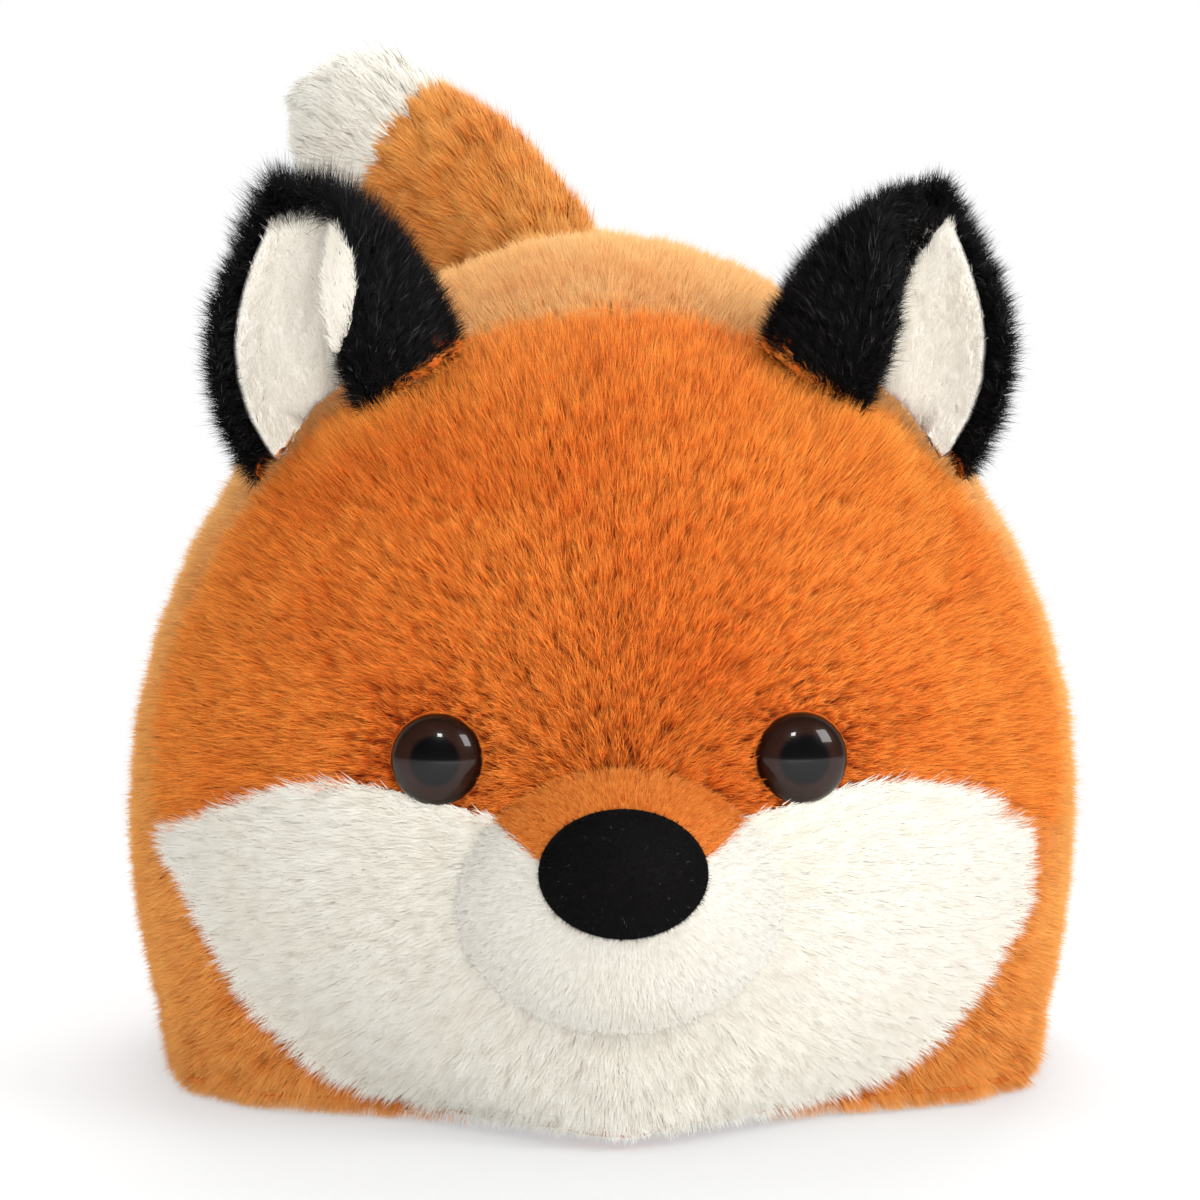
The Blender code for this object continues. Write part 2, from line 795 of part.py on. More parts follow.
def make_tail(finishes, root, rump_way):
    hinge = bpy.data.objects.new("tail_hinge", None)
    hinge.location = root
    bpy.context.scene.collection.objects.link(hinge)
    bpy.context.view_layer.update()
    hollow = tail_mass("hollow_of_tail", root, tail_wall, None)
    hollow.hide_render = True
    hollow.display_type = "WIRE"
    mouth = [(0, tail_length), (tail_root_opening, tail_length), (tail_root_opening, 0), (0, 0)]
    opening = cutter_from("tail_root_opening", turned(mouth, small_segments))
    opening.matrix_world = placed_along(-rump_way, root)
    wad_room = ball("room_for_wad", root, tail_wad_radius + tail_socket_clearance, small_segments)
    before_tip = tail_cut("before_tip", root, tail_tip_start_share, seam_gap / 2, False)
    after_tip = tail_cut("after_tip", root, tail_tip_start_share, seam_gap / 2, True)
    sleeve = tail_mass("tail_sleeve", root, 0, finishes["orange_pile"])
    shape_by(sleeve, "INTERSECT", before_tip)
    shape_by(sleeve, "DIFFERENCE", hollow)
    shape_by(sleeve, "DIFFERENCE", opening)
    tip = object_from("tail_tip", tail_form(root, 0), finishes["white_pile"])
    shape_by(tip, "INTERSECT", after_tip)
    shape_by(tip, "DIFFERENCE", hollow)
    stuffing = tail_mass("tail_stuffing", root, tail_wall + touch_gap, finishes["fibre"])
    shape_by(stuffing, "DIFFERENCE", wad_room)
    shape_by(stuffing, "DIFFERENCE", opening)
    far = tail_root_radius + tail_socket_clearance
    stalk = [(0, far), (tail_stalk_radius, far), (tail_stalk_radius, 0), (0, 0)]
    wad = object_from("tail_root", turned(stalk, small_segments // 2), finishes["fibre"])
    wad.matrix_world = placed_along(-rump_way, root)
    shape_by(wad, "UNION", ball("body_of_wad", root, tail_wad_radius, small_segments))
    shape_by(wad, "INTERSECT", ball("end_of_stalk", root, tail_root_radius, small_segments * 2))
    for piece in (sleeve, tip, stuffing):
        piece.parent = hinge
        piece.matrix_parent_inverse = hinge.matrix_world.inverted()


def main():
    clear_scene()
    finishes = {
        "orange_pile": finish("orange_pile", 0.83, 0.42, 0.13, 0.95),
        "white_pile": finish("white_pile", 0.93, 0.92, 0.87, 0.95),
        "orange_short_pile": finish("orange_short_pile", 0.87, 0.48, 0.16, 0.9),
        "white_short_pile": finish("white_short_pile", 0.93, 0.92, 0.87, 0.9),
        "black_pile": finish("black_pile", 0.09, 0.085, 0.085, 0.95),
        "lining_pile": finish("lining_pile", 0.93, 0.90, 0.84, 0.9),
        "nose_velour": finish("nose_velour", 0.08, 0.075, 0.075, 0.9),
        "eye_brown": finish("eye_brown", 0.17, 0.08, 0.05, 0.06),
        "eye_black": finish("eye_black", 0.03, 0.03, 0.03, 0.3),
        "washer_white": finish("washer_white", 0.9, 0.9, 0.88, 0.4),
        "belly_fabric": finish("belly_fabric", 0.83, 0.42, 0.13, 0.95),
        "fibre": finish("fibre", 0.95, 0.95, 0.94, 1.0),
        "pouch_cloth": finish("pouch_cloth", 0.85, 0.84, 0.80, 0.9),
    }
    tree = surface_tree()
    root, rump_way = tail_root(tree)
    socket = ball("tail_socket", root, tail_root_radius + tail_socket_clearance, small_segments)
    holes = {"body": [socket], "core": [socket]}
    for word in ("left", "right"):
        holes[f"forehead_{word}"] = []
        holes[f"cheek_{word}"] = []
    make_eyes(finishes, tree, holes)
    make_panels(finishes, holes)
    make_stuffing(finishes, holes)
    make_muzzle(finishes)
    make_nose(finishes)
    make_ears(finishes, tree)
    make_tail(finishes, root, rump_way)


main()
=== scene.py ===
"""The looks of a plush fox: a loaf-shaped soft toy that lies on its belly."""

import math

import bmesh
import bpy
import numpy as np
from mathutils import Matrix, Vector
from mathutils.bvhtree import BVHTree


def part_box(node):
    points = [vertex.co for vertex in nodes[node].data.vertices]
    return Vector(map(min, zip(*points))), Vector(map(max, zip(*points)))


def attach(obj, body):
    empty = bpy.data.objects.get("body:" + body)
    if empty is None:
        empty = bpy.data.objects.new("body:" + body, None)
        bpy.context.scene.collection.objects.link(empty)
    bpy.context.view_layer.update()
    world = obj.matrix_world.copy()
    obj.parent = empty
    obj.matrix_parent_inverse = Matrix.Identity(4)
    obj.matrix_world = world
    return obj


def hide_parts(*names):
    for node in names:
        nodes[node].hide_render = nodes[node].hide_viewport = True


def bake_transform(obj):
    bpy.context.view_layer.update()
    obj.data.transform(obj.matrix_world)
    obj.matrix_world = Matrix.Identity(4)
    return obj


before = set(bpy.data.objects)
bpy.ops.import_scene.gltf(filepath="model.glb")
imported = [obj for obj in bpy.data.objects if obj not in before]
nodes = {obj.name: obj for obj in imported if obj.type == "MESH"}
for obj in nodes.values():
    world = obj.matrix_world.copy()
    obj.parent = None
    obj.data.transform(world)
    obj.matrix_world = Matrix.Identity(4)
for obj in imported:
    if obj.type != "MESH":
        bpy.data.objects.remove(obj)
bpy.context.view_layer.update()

# Studio: a white floor that runs on into a white background, a key box on the right, a weak fill on the
# left, a wide box behind, and two small lamps for the eyes and the chin. The camera stands low in front
# of the face, a little to its left, with a long lens.
camera_distance = 0.919
camera_turn = math.radians(-2)
camera_rise = math.radians(5)
camera_target = Vector((0, -0.055, 0.105))
camera_lens_mm = 135
camera_sensor_mm = 36
camera_shift = -0.0096

camera = bpy.data.objects.new("camera", bpy.data.cameras.new("camera"))
camera.data.sensor_width = camera_sensor_mm
camera.data.lens = camera_lens_mm
camera.data.shift_x = camera_shift
camera_way = Vector((
    math.sin(camera_turn) * math.cos(camera_rise),
    -math.cos(camera_turn) * math.cos(camera_rise),
    math.sin(camera_rise),
))
camera.location = camera_target + camera_way * camera_distance
camera.rotation_euler = (-camera_way).to_track_quat("-Z", "Y").to_euler()
bpy.context.scene.collection.objects.link(camera)
bpy.context.scene.camera = camera
bpy.context.scene.view_settings.view_transform = "Standard"

for lamp_name, lamp_place, lamp_aim, lamp_size, lamp_watts in (
    ("key_box", (1.2, -1.0, 0.95), (0, -0.05, 0.08), 0.65, 13.8),
    ("fill_box", (-1.2, -1.1, 0.6), (0, -0.05, 0.08), 1.0, 2.4),
    ("back_box", (0.1, 0.9, 1.3), (0, 0.0, 0.12), 1.1, 22),
    ("eye_box", (-0.1, -1.5, 1.1), (0, -0.05, 0.08), 0.2, 4.5),
    ("table_card", (0.1, -1.2, 0.12), (0, -0.1, 0.06), 0.7, 9),
):
    lamp = bpy.data.objects.new(lamp_name, bpy.data.lights.new(lamp_name, "AREA"))
    lamp.data.shape = "SQUARE"
    lamp.data.size = lamp_size
    lamp.data.energy = lamp_watts
    lamp.location = lamp_place
    aim = Vector(lamp_aim) - lamp.location
    lamp.rotation_euler = aim.to_track_quat("-Z", "Y").to_euler()
    lamp.visible_glossy = lamp_name not in ("fill_box", "table_card")
    bpy.context.scene.collection.objects.link(lamp)


class Wire:
    """One socket of a finish: arithmetic on it adds Math nodes."""

    def __init__(self, finish, socket):
        self.finish = finish
        self.socket = socket

    def maths(self, operation, *values):
        return self.finish.add("ShaderNodeMath", {"operation": operation}, dict(enumerate(values)))

    def __add__(self, other):
        return self.maths("ADD", self, other)

    def __mul__(self, other):
        return self.maths("MULTIPLY", self, other)

    def __sub__(self, other):
        return self.maths("SUBTRACT", self, other)

    def __rsub__(self, other):
        return self.maths("SUBTRACT", other, self)

    def __pow__(self, other):
        return self.maths("POWER", self, other)

    __radd__ = __add__
    __rmul__ = __mul__


class Finish:
    """A material or world with its shader and the nodes that feed it."""

    body_reached = 0.62
    tip_begun = 0.45
    tip_gathered = 1.3

    def __init__(self, name, holder=None, **fixed):
        self.material = holder or bpy.data.materials.new(name)
        self.material.use_nodes = True
        self.tree = self.material.node_tree
        self.shader = self.tree.nodes["Background" if holder else "Principled BSDF"]
        for socket, value in fixed.items():
            self.shader.inputs[socket.replace("_", " ")].default_value = value

    def add(self, kind, settings, sockets, output=0):
        """Adds a node, sets it up, fills or links its sockets and gives one of its outputs."""
        node = self.tree.nodes.new(kind)
        for key, value in settings.items():
            if key == "stops":
                ramp = node.color_ramp
                while len(ramp.elements) < len(value):
                    ramp.elements.new(0.5)
                for element, (place, colour) in zip(ramp.elements, value):
                    element.position = place
                    element.color = colour
            else:
                setattr(node, key, value)
        for key, value in sockets.items():
            self.feed(node.inputs[key], value)
        return Wire(self, node.outputs[output])

    def feed(self, socket, value):
        if isinstance(value, Wire):
            self.tree.links.new(value.socket, socket)
        else:
            socket.default_value = value

    def mixed(self, first, second, share, blend="MIX"):
        """Two colours mixed by a share."""
        settings = {"data_type": "RGBA", "blend_type": blend}
        return self.add("ShaderNodeMix", settings, {0: share, 6: first, 7: second}, 2)

    def noise(self, scale, detail=2.0, roughness=0.5, distortion=0.0):
        """Blender's noise on the piece's own place, in waves to the metre."""
        place = self.add("ShaderNodeTexCoord", {}, {}, "Object")
        sockets = {
            "Vector": place, "Scale": scale, "Detail": detail,
            "Roughness": roughness, "Distortion": distortion,
        }
        return self.add("ShaderNodeTexNoise", {}, sockets, "Fac")

    def painted_shade_colour(self, along, root, body, tip):
        """A fibre's colour from root to tip: painted shade at the root, painted light at the tip."""
        low = self.mixed(root, body, self.ranged(along, 0.0, self.body_reached))
        return self.mixed(low, tip, self.ranged(along, self.tip_begun, 1.0) ** self.tip_gathered)

    def ranged(self, value, low, high, to_low=0.0, to_high=1.0):
        """A value carried from one range to another, held at its ends."""
        sockets = {"Value": value, "From Min": low, "From Max": high, "To Min": to_low, "To Max": to_high}
        return self.add("ShaderNodeMapRange", {}, sockets)


def linear(share):
    return share / 12.92 if share <= 0.04045 else ((share + 0.055) / 1.055) ** 2.4


def tint(red, green, blue):
    """A colour as it shows, from 0 to 255, as the shader wants it."""
    return (linear(red / 255), linear(green / 255), linear(blue / 255), 1.0)


# The backdrop shows white to the camera and in glossy things; the room behind the camera is dim.
world = bpy.data.worlds.new("studio")
bpy.context.scene.world = world
studio = Finish("studio", world, Color=(1, 1, 1, 1))
world_light = 0.56
dim_room = 0.05
room_opens = 0.5
from_camera = studio.add("ShaderNodeLightPath", {}, {}, "Is Camera Ray")
from_glass = studio.add("ShaderNodeLightPath", {}, {}, "Is Transmission Ray")
from_gloss = studio.add("ShaderNodeLightPath", {}, {}, "Is Glossy Ray")
outlook = studio.add("ShaderNodeTexCoord", {}, {}, "Generated")
behind = studio.add("ShaderNodeSeparateXYZ", {}, {"Vector": outlook}, "Y")
gloss_light = studio.ranged(behind, 0.0, room_opens, dim_room, 1.0)
indirect = world_light * (1 - from_gloss) + gloss_light * from_gloss
studio.feed(studio.shader.inputs["Strength"], indirect.maths("MAXIMUM", indirect, from_camera.maths(
    "MAXIMUM", from_camera, from_glass,
)))

floor_reach = 3.0
shadow_reach = 0.1
shadow_end = 0.42
shadow_glow = 0.5
floor_shape = bmesh.new()
bmesh.ops.create_grid(floor_shape, x_segments=1, y_segments=1, size=floor_reach)
floor_mesh = bpy.data.meshes.new("floor")
floor_shape.to_mesh(floor_mesh)
floor_shape.free()
floor = bpy.data.objects.new("floor", floor_mesh)
bpy.context.scene.collection.objects.link(floor)
floor_finish = Finish("floor_white", Roughness=0.9)
floor_light = floor_finish.add("ShaderNodeEmission", {}, {"Color": (1, 1, 1, 1), "Strength": 1.0})
floor_seen = floor_finish.add("ShaderNodeLightPath", {}, {}, "Is Camera Ray")
floor_place = floor_finish.add("ShaderNodeTexCoord", {}, {}, "Object")
floor_far = floor_finish.add("ShaderNodeVectorMath", {"operation": "LENGTH"}, {0: floor_place}, "Value")
floor_fade = floor_finish.ranged(floor_far, shadow_reach, shadow_end, shadow_glow, 1.0)
floor_finish.shader.inputs["Base Color"].default_value = tint(238, 238, 238)
floor_mix = floor_finish.tree.nodes.new("ShaderNodeMixShader")
floor_finish.feed(floor_mix.inputs[0], floor_seen * floor_fade)
floor_finish.tree.links.new(floor_finish.shader.outputs[0], floor_mix.inputs[1])
floor_finish.tree.links.new(floor_light.socket, floor_mix.inputs[2])
floor_finish.tree.links.new(floor_mix.outputs[0], floor_finish.tree.nodes["Material Output"].inputs[0])
floor_mesh.materials.append(floor_finish.material)


# Body panels: two sides of long orange plush, sewn along the spine and to the belly panel.
# The pile is knitted into a backing and stands off it as separate fibres, brushed towards the rump.
millimetre = 0.001
weld = 0.000005
face_start = 0.02 * millimetre
over_seams = 0.45 * millimetre
seam_half = 0.6 * millimetre
seam_lap = 0.4 * millimetre
patch_crowd = 3.0
wall_share = 0.25
wall_depth = 3 * millimetre


def solid_of(name):
    """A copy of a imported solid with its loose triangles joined."""
    shape = bmesh.new()
    shape.from_mesh(nodes[name].data)
    bmesh.ops.remove_doubles(shape, verts=shape.verts, dist=weld)
    shape.faces.ensure_lookup_table()
    return shape


def cover_of(names):
    """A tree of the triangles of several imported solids."""
    points = []
    triangles = []
    for name in names:
        start = len(points)
        mesh = nodes[name].data
        points += [vert.co.copy() for vert in mesh.vertices]
        triangles += [[start + corner for corner in face.vertices] for face in mesh.polygons]
    return BVHTree.FromPolygons(points, triangles)


def unit(rows):
    return rows / np.maximum(np.linalg.norm(rows, axis=1, keepdims=True), 1e-12)


def across(rows, normals):
    """The part of each row that lies square to its normal, at unit length."""
    return unit(rows - normals * (rows * normals).sum(axis=1, keepdims=True))


class Sheet:
    """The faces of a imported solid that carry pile, with smooth normals, and its closed backing.

    The backing lies as deep under the solid's surface as the pile is sunk, and laps over a centre seam.
    With walls, the bare walls along its edges sink with it. crowded says how many times as many fibres
    grow at a place. patch is another sheet and the share of its places that carry this one's fibres.
    """

    crowded = None
    patch = None

    def __init__(self, name, cover, reach, sink, facing=None, rounded=None, moved=None, walls=False):
        shape = solid_of(name)
        self.rounded = rounded
        chosen = []
        for face in shape.faces:
            centre = face.calc_center_median()
            if cover.ray_cast(centre + face.normal * face_start, face.normal, reach)[0] is not None:
                continue
            if facing and not facing(centre, face.normal):
                continue
            chosen.append(face)
        self.normals = np.zeros((len(shape.verts), 3))
        for face in chosen:
            for vert in face.verts:
                self.normals[vert.index] += np.array(face.normal) * face.calc_area()
        seen = np.linalg.norm(self.normals, axis=1)
        whole = np.array([sum(face.calc_area() for face in vert.link_faces) for vert in shape.verts])
        self.bare = seen <= wall_share * whole
        self.normals = unit(self.normals)
        self.points = np.array([vert.co for vert in shape.verts])
        if moved:
            self.points = moved(self.points)
        self.triangles = np.array([[vert.index for vert in face.verts] for face in chosen])
        self.solid = np.array([[vert.index for vert in face.verts] for face in shape.faces])
        sunk = self.normals.copy()
        if walls:
            firm = np.flatnonzero(~self.bare)
            for spot in np.flatnonzero(self.bare):
                gaps = np.linalg.norm(self.points[firm] - self.points[spot], axis=1)
                nearest = self.normals[firm[gaps.argmin()]]
                sunk[spot] = nearest * np.clip(2 - gaps.min() / wall_depth, 0, 1)
        self.backing = self.points - sunk * sink
        side = np.sign(np.round(self.points[:, 0].mean(), 2))
        if side:
            self.backing[np.abs(self.points[:, 0]) < seam_half, 0] = -side * seam_lap
        self.sink = sink
        shape.free()

    def scatter(self, per_square_mm, dice, thinned=None):
        """Random places on the sheet with their normals, about so many to each square millimetre."""
        corners = self.points[self.triangles]
        crossed = np.cross(corners[:, 1] - corners[:, 0], corners[:, 2] - corners[:, 0])
        areas = np.linalg.norm(crossed, axis=1) / 2
        if self.crowded:
            areas = areas * self.crowded(corners.mean(axis=1))
        count = int(areas.sum() / millimetre ** 2 * per_square_mm)
        picked = dice.choice(len(areas), count, p=areas / areas.sum())
        first = dice.random(count)
        second = dice.random(count)
        over = first + second > 1
        first[over] = 1 - first[over]
        second[over] = 1 - second[over]
        shares = np.stack([1 - first - second, first, second], axis=1)[:, :, None]
        places = (self.points[self.triangles[picked]] * shares).sum(axis=1)
        normals = unit((self.normals[self.triangles[picked]] * shares).sum(axis=1))
        astray = dice.normal(0, over_seams, (count, 3))
        places = places + astray - normals * (astray * normals).sum(axis=1, keepdims=True)
        if self.rounded:
            places, normals = self.rounded(places, normals)
        if thinned is not None:
            kept = dice.random(count) < thinned(places)
            places = places[kept]
            normals = normals[kept]
        if self.patch:
            carrier, share = self.patch
            more_places, more_normals = carrier.scatter(per_square_mm * patch_crowd, dice, share)
            raised = more_places + more_normals * max(self.sink - carrier.sink, 0.0)
            places = np.concatenate([places, raised])
            normals = np.concatenate([normals, more_normals])
        return places, normals


def hashed(cells, salt):
    """A steady random number from 0 to 1 for each row of whole numbers."""
    mixed = cells[:, 0] * 73856093 ^ cells[:, 1] * 19349663 ^ cells[:, 2] * 83492791 ^ salt * 2654435761
    mixed = (mixed ^ (mixed >> 13)) * 1274126177
    mixed = mixed ^ (mixed >> 16)
    return (mixed & 0xFFFFFF) / 0xFFFFFF


def tufted(places, spacing, salt):
    """For each place, the way to the middle of its tuft and a random number of the tuft's own."""
    base = np.floor(places / spacing).astype(np.int64)
    nearest = np.full(len(places), np.inf)
    way = np.zeros_like(places)
    luck = np.zeros(len(places))
    for x in (-1, 0, 1):
        for y in (-1, 0, 1):
            for z in (-1, 0, 1):
                cell = base + np.array([x, y, z])
                jitter = np.stack([hashed(cell, salt + axis) for axis in range(3)], axis=1)
                middle = (cell + jitter) * spacing
                gap = ((middle - places) ** 2).sum(axis=1)
                closer = gap < nearest
                nearest[closer] = gap[closer]
                way[closer] = (middle - places)[closer]
                luck[closer] = hashed(cell[closer], salt + 7)
    return way, luck


tuft_reach = 0.62
foot_turn = 0.7
foot_trim = 0.3
root_lap = 0.1 * millimetre
floor_clearance = 0.2 * millimetre
least_rise = -0.2
least_drop = 0.05
least_length = 0.05 * millimetre
pull_curve = 1.5
taper = 0.45
tone_middle = 0.69
tone_of_tuft = 0.25
painted_parting_shade = 0.55
bare_ground = 0.55


def grow_pile(name, sheet, pile, flow, seed, thinned=None, trimmed=None, climbing=None):
    """One piece made of the sheet's closed backing and the fibres that grow from it.

    pile gives the fibres' length, width, number, lean at root and tip, tuft spacing and pull.
    climbing says which fibres belong to the fur that climbs from below, and how that fur faces.
    """
    dice = np.random.default_rng(seed)
    density = pile["density"] * 1.0
    places, normals = sheet.scatter(density, dice, thinned)
    count = len(places)
    way, luck = tufted(places, pile["tuft"], seed)
    way -= normals * (way * normals).sum(axis=1, keepdims=True)
    outer = np.clip(np.linalg.norm(way, axis=1) / (tuft_reach * pile["tuft"]), 0, 1) ** 2
    heading = across(flow(places, normals), normals)
    sideways = np.cross(normals, heading)
    swing = (dice.normal(0, pile["swing"], count) + (luck - 0.5) * pile["tuft_swing"])[:, None]
    heading = heading * np.cos(swing) + sideways * np.sin(swing)
    sideways = np.cross(normals, heading)
    uneven = dice.normal(0, pile["uneven"], count) + (luck - 0.5) * pile["tuft_uneven"]
    length = pile["length"] * (1 + uneven)
    length = length * (1 - pile["parting"] * outer)
    if trimmed is not None:
        length = length * trimmed(places)
    facing = normals.copy()
    facing[:, 2] = np.maximum(facing[:, 2], least_rise)
    facing = unit(facing)
    foot = np.zeros(count)
    if climbing is not None:
        foot, below = climbing(places, dice)
        facing = unit(facing * (1 - foot_turn * foot[:, None]) + below * foot_turn)
        length = length * (1 - foot_trim * foot)
    steps = pile["steps"]
    lean_spread = dice.normal(0, pile["lean_spread"], count)
    crimp = dice.uniform(0, 2 * math.pi, count)
    root = places - normals * (sheet.sink + root_lap)
    middle_lean = (pile["lean_root"] + pile["lean_tip"]) / 2
    drop = -(normals * math.cos(middle_lean) + heading * math.sin(middle_lean))[:, 2]
    clear = np.maximum(root[:, 2] - floor_clearance, least_length)
    to_floor = np.minimum(length, clear / np.maximum(drop, least_drop))
    length = np.where(drop > least_drop, to_floor, length)
    line = [root]
    ways = []
    for step in range(steps):
        share = (step + 0.5) / steps
        lean = (pile["lean_root"] + (pile["lean_tip"] - pile["lean_root"]) * share + lean_spread)[:, None]
        bend = (pile["crimp"] * np.sin(crimp + share * pile["waves"] * 2 * math.pi))[:, None]
        way_now = unit(normals * np.cos(lean) + heading * np.sin(lean) + sideways * bend)
        line.append(line[-1] + way_now * (length / steps)[:, None])
        ways.append(way_now)
    ways.append(ways[-1])
    roll = dice.normal(0, pile["roll"], count)[:, None]
    points = np.zeros((count, 2 * steps + 1, 3))
    shading = np.zeros((count, 2 * steps + 1, 3))
    along = np.zeros((count, 2 * steps + 1))
    for step in range(steps + 1):
        share = step / steps
        centre = line[step] + way * (pile["pull"] * share ** pull_curve)
        flat = unit(np.cross(ways[step], normals))
        edge = flat * np.cos(roll) + np.cross(ways[step], flat) * np.sin(roll)
        face = unit(np.cross(edge, ways[step]))
        soft = unit(facing * pile["softness"] + face * (1 - pile["softness"]))
        if step == steps:
            points[:, -1] = centre
            shading[:, -1] = soft
            along[:, -1] = 1
            continue
        half = edge * pile["width"] / 2 * (1 - taper * share ** 2)
        points[:, 2 * step] = centre - half
        points[:, 2 * step + 1] = centre + half
        shading[:, 2 * step] = soft
        shading[:, 2 * step + 1] = soft
        along[:, 2 * step:2 * step + 2] = share
    points[:, :, 2] = np.maximum(points[:, :, 2], floor_clearance)
    pattern = []
    for step in range(steps - 1):
        low = 2 * step
        pattern += [(low, low + 1, low + 3), (low, low + 3, low + 2)]
    pattern.append((2 * steps - 2, 2 * steps - 1, 2 * steps))
    starts = len(sheet.backing) + np.arange(count) * (2 * steps + 1)
    fibres = (starts[:, None, None] + np.array(pattern)[None]).reshape(-1, 3)
    triangles = np.concatenate([sheet.solid, fibres])
    all_points = np.concatenate([sheet.backing, points.reshape(-1, 3)])
    mesh = bpy.data.meshes.new(name)
    mesh.vertices.add(len(all_points))
    mesh.vertices.foreach_set("co", all_points.astype(np.float32).ravel())
    mesh.loops.add(3 * len(triangles))
    mesh.loops.foreach_set("vertex_index", triangles.astype(np.int32).ravel())
    mesh.polygons.add(len(triangles))
    mesh.polygons.foreach_set("loop_start", np.arange(0, 3 * len(triangles), 3, dtype=np.int32))
    mesh.update(calc_edges=True)
    # Fibres at a tuft's edge get a darker tone: painted shade in the partings; the rest of the tone is
    # random.
    tone = dice.normal(tone_middle, pile["mixture"], count) + (luck - 0.5) * tone_of_tuft
    tone = np.clip(tone - painted_parting_shade * outer, 0, 1)
    rest = len(sheet.backing)
    backing_foot = np.zeros(rest) if climbing is None else climbing(sheet.points, None)[0]
    # The backing shows the colour at the pile's ground share: painted shade low, painted light high.
    for word, values in (
        ("along", np.concatenate([np.where(sheet.bare, bare_ground, pile["ground"]), along.ravel()])),
        ("tone", np.concatenate([np.full(rest, 0.5), np.repeat(tone, 2 * steps + 1)])),
        ("foot", np.concatenate([backing_foot, np.repeat(foot, 2 * steps + 1)])),
    ):
        attribute = mesh.attributes.new(word, "FLOAT", "POINT")
        attribute.data.foreach_set("value", values.astype(np.float32))
    mesh.shade_smooth()
    mesh.normals_split_custom_set_from_vertices(
        np.concatenate([np.zeros((rest, 3)), shading.reshape(-1, 3)])
    )
    piece = bpy.data.objects.new(name, mesh)
    bpy.context.scene.collection.objects.link(piece)
    return piece


patch_waves = 28.0
patch_low = 0.42
patch_high = 0.66
patch_strength = 0.55
top_light_low = 70 * millimetre
top_light_high = 150 * millimetre
shade_of_green = 1.3
shade_of_blue = 1.6
lint_low = 0.9
lint_high = 0.98
climbed_low = 0.1
climbed_high = 0.9
foot_low = 0.4
foot_high = 0.6


def pile_finish(
    name, root, body, tip, patch, sheen, roughness=0.85, spread=(0.7, 1.15), lint=0.0, climbed=None,
    painted_top_light=None,
):
    """Pile colour: painted shade at roots and partings, painted light at the tips, uneven by tuft.

    lint is how much dust its lightest fibres hold, climbed the root and tip colour of fur that climbs
    over it, and painted_top_light the paler colours of its upper part, painted light from above.
    """
    finish = Finish(
        name, Roughness=roughness, Sheen_Weight=sheen, Sheen_Roughness=0.45,
        Specular_IOR_Level=0.2, Sheen_Tint=tip,
    )
    along = finish.add("ShaderNodeAttribute", {"attribute_name": "along"}, {}, "Fac")
    tone = finish.add("ShaderNodeAttribute", {"attribute_name": "tone"}, {}, "Fac")
    fibre = finish.painted_shade_colour(along, root, body, tip)
    # Paler towards the top: painted light that falls from above and behind.
    if painted_top_light:
        place = finish.add("ShaderNodeTexCoord", {}, {}, "Object")
        height = finish.add("ShaderNodeSeparateXYZ", {}, {0: place}, "Z")
        fibre = finish.mixed(fibre, finish.painted_shade_colour(along, *painted_top_light), finish.ranged(height, top_light_low, top_light_high))
    worn = finish.ranged(finish.noise(patch_waves, 3.0, 0.6, 0.4), patch_low, patch_high)
    patched = finish.mixed(fibre, patch, worn * patch_strength, "MULTIPLY")
    # light scales each fibre's colour by its tone: random by fibre and tuft, and painted shade at the
    # partings.
    light = finish.ranged(tone, 0.0, 1.0, *spread)
    shade = {0: light, 1: light ** shade_of_green, 2: light ** shade_of_blue}
    painted_shade_colour = finish.mixed(patched, finish.add("ShaderNodeCombineColor", {}, shade), 1.0, "MULTIPLY")
    if lint:
        caught = finish.ranged(tone, lint_low, lint_high, 0.0, lint)
        painted_shade_colour = finish.mixed(painted_shade_colour, tint(150, 146, 142), caught)
    if climbed:
        foot = finish.add("ShaderNodeAttribute", {"attribute_name": "foot"}, {}, "Fac")
        grown = finish.mixed(*climbed, finish.ranged(along, climbed_low, climbed_high))
        painted_shade_colour = finish.mixed(painted_shade_colour, grown, finish.ranged(foot, foot_low, foot_high))
    finish.feed(finish.shader.inputs["Base Color"], painted_shade_colour)
    return finish.material


def brushed_back(places, normals):
    """The body's pile lies towards the rump and a little down."""
    way = np.zeros_like(places)
    way[:, 1] = 1
    way[:, 2] = -back_fall - hem_fall * np.clip(1 - places[:, 2] / hem_height, 0, 1)
    way[:, 0] = side_fall * np.clip(places[:, 0] / spine_spread, -1, 1)
    return way


long_pile = {
    "length": 7.4 * millimetre, "width": 0.27 * millimetre, "density": 7.0,
    "lean_root": math.radians(46), "lean_tip": math.radians(46), "lean_spread": math.radians(9),
    "swing": 0.26, "tuft_swing": 0.5, "tuft": 3.2 * millimetre, "pull": 0.3, "parting": 0.3,
    "uneven": 0.09, "tuft_uneven": 0.16, "crimp": 0.1, "waves": 0.8, "roll": 0.6,
    "softness": 0.7, "steps": 1, "ground": 0.0, "mixture": 0.22,
}
pile_sink = 4.6 * millimetre
seam_place = -50 * millimetre
seam_valley = 15 * millimetre
seam_low = 45 * millimetre
seam_fade = 15 * millimetre
seam_trim = 0.5
spine_spread = 25 * millimetre
hem_height = 14 * millimetre
hem_growth = 0.5
hem_fall = 1.8
back_fall = 0.35
side_fall = 0.15


def trimmed_back(places):
    """The pile is pulled down into the seam behind the face, rises over the back and hangs at the hem."""
    share = np.clip((places[:, 1] - seam_place) / seam_valley, 0, 1)
    high = np.clip((places[:, 2] - seam_low) / seam_fade, 0, 1)
    hem = 1 + hem_growth * np.clip(1 - places[:, 2] / hem_height, 0, 1)
    return (1 - seam_trim * high * (1 - share * share * (3 - 2 * share))) * hem


def crowded_edges(places):
    """The pile stands closer along the hem and the centre seam."""
    beside_seam = np.where(np.abs(places[:, 0]) < seam_crowded, seam_crowd, 1.0)
    return np.where(places[:, 2] < hem_crowded, hem_crowd, beside_seam)


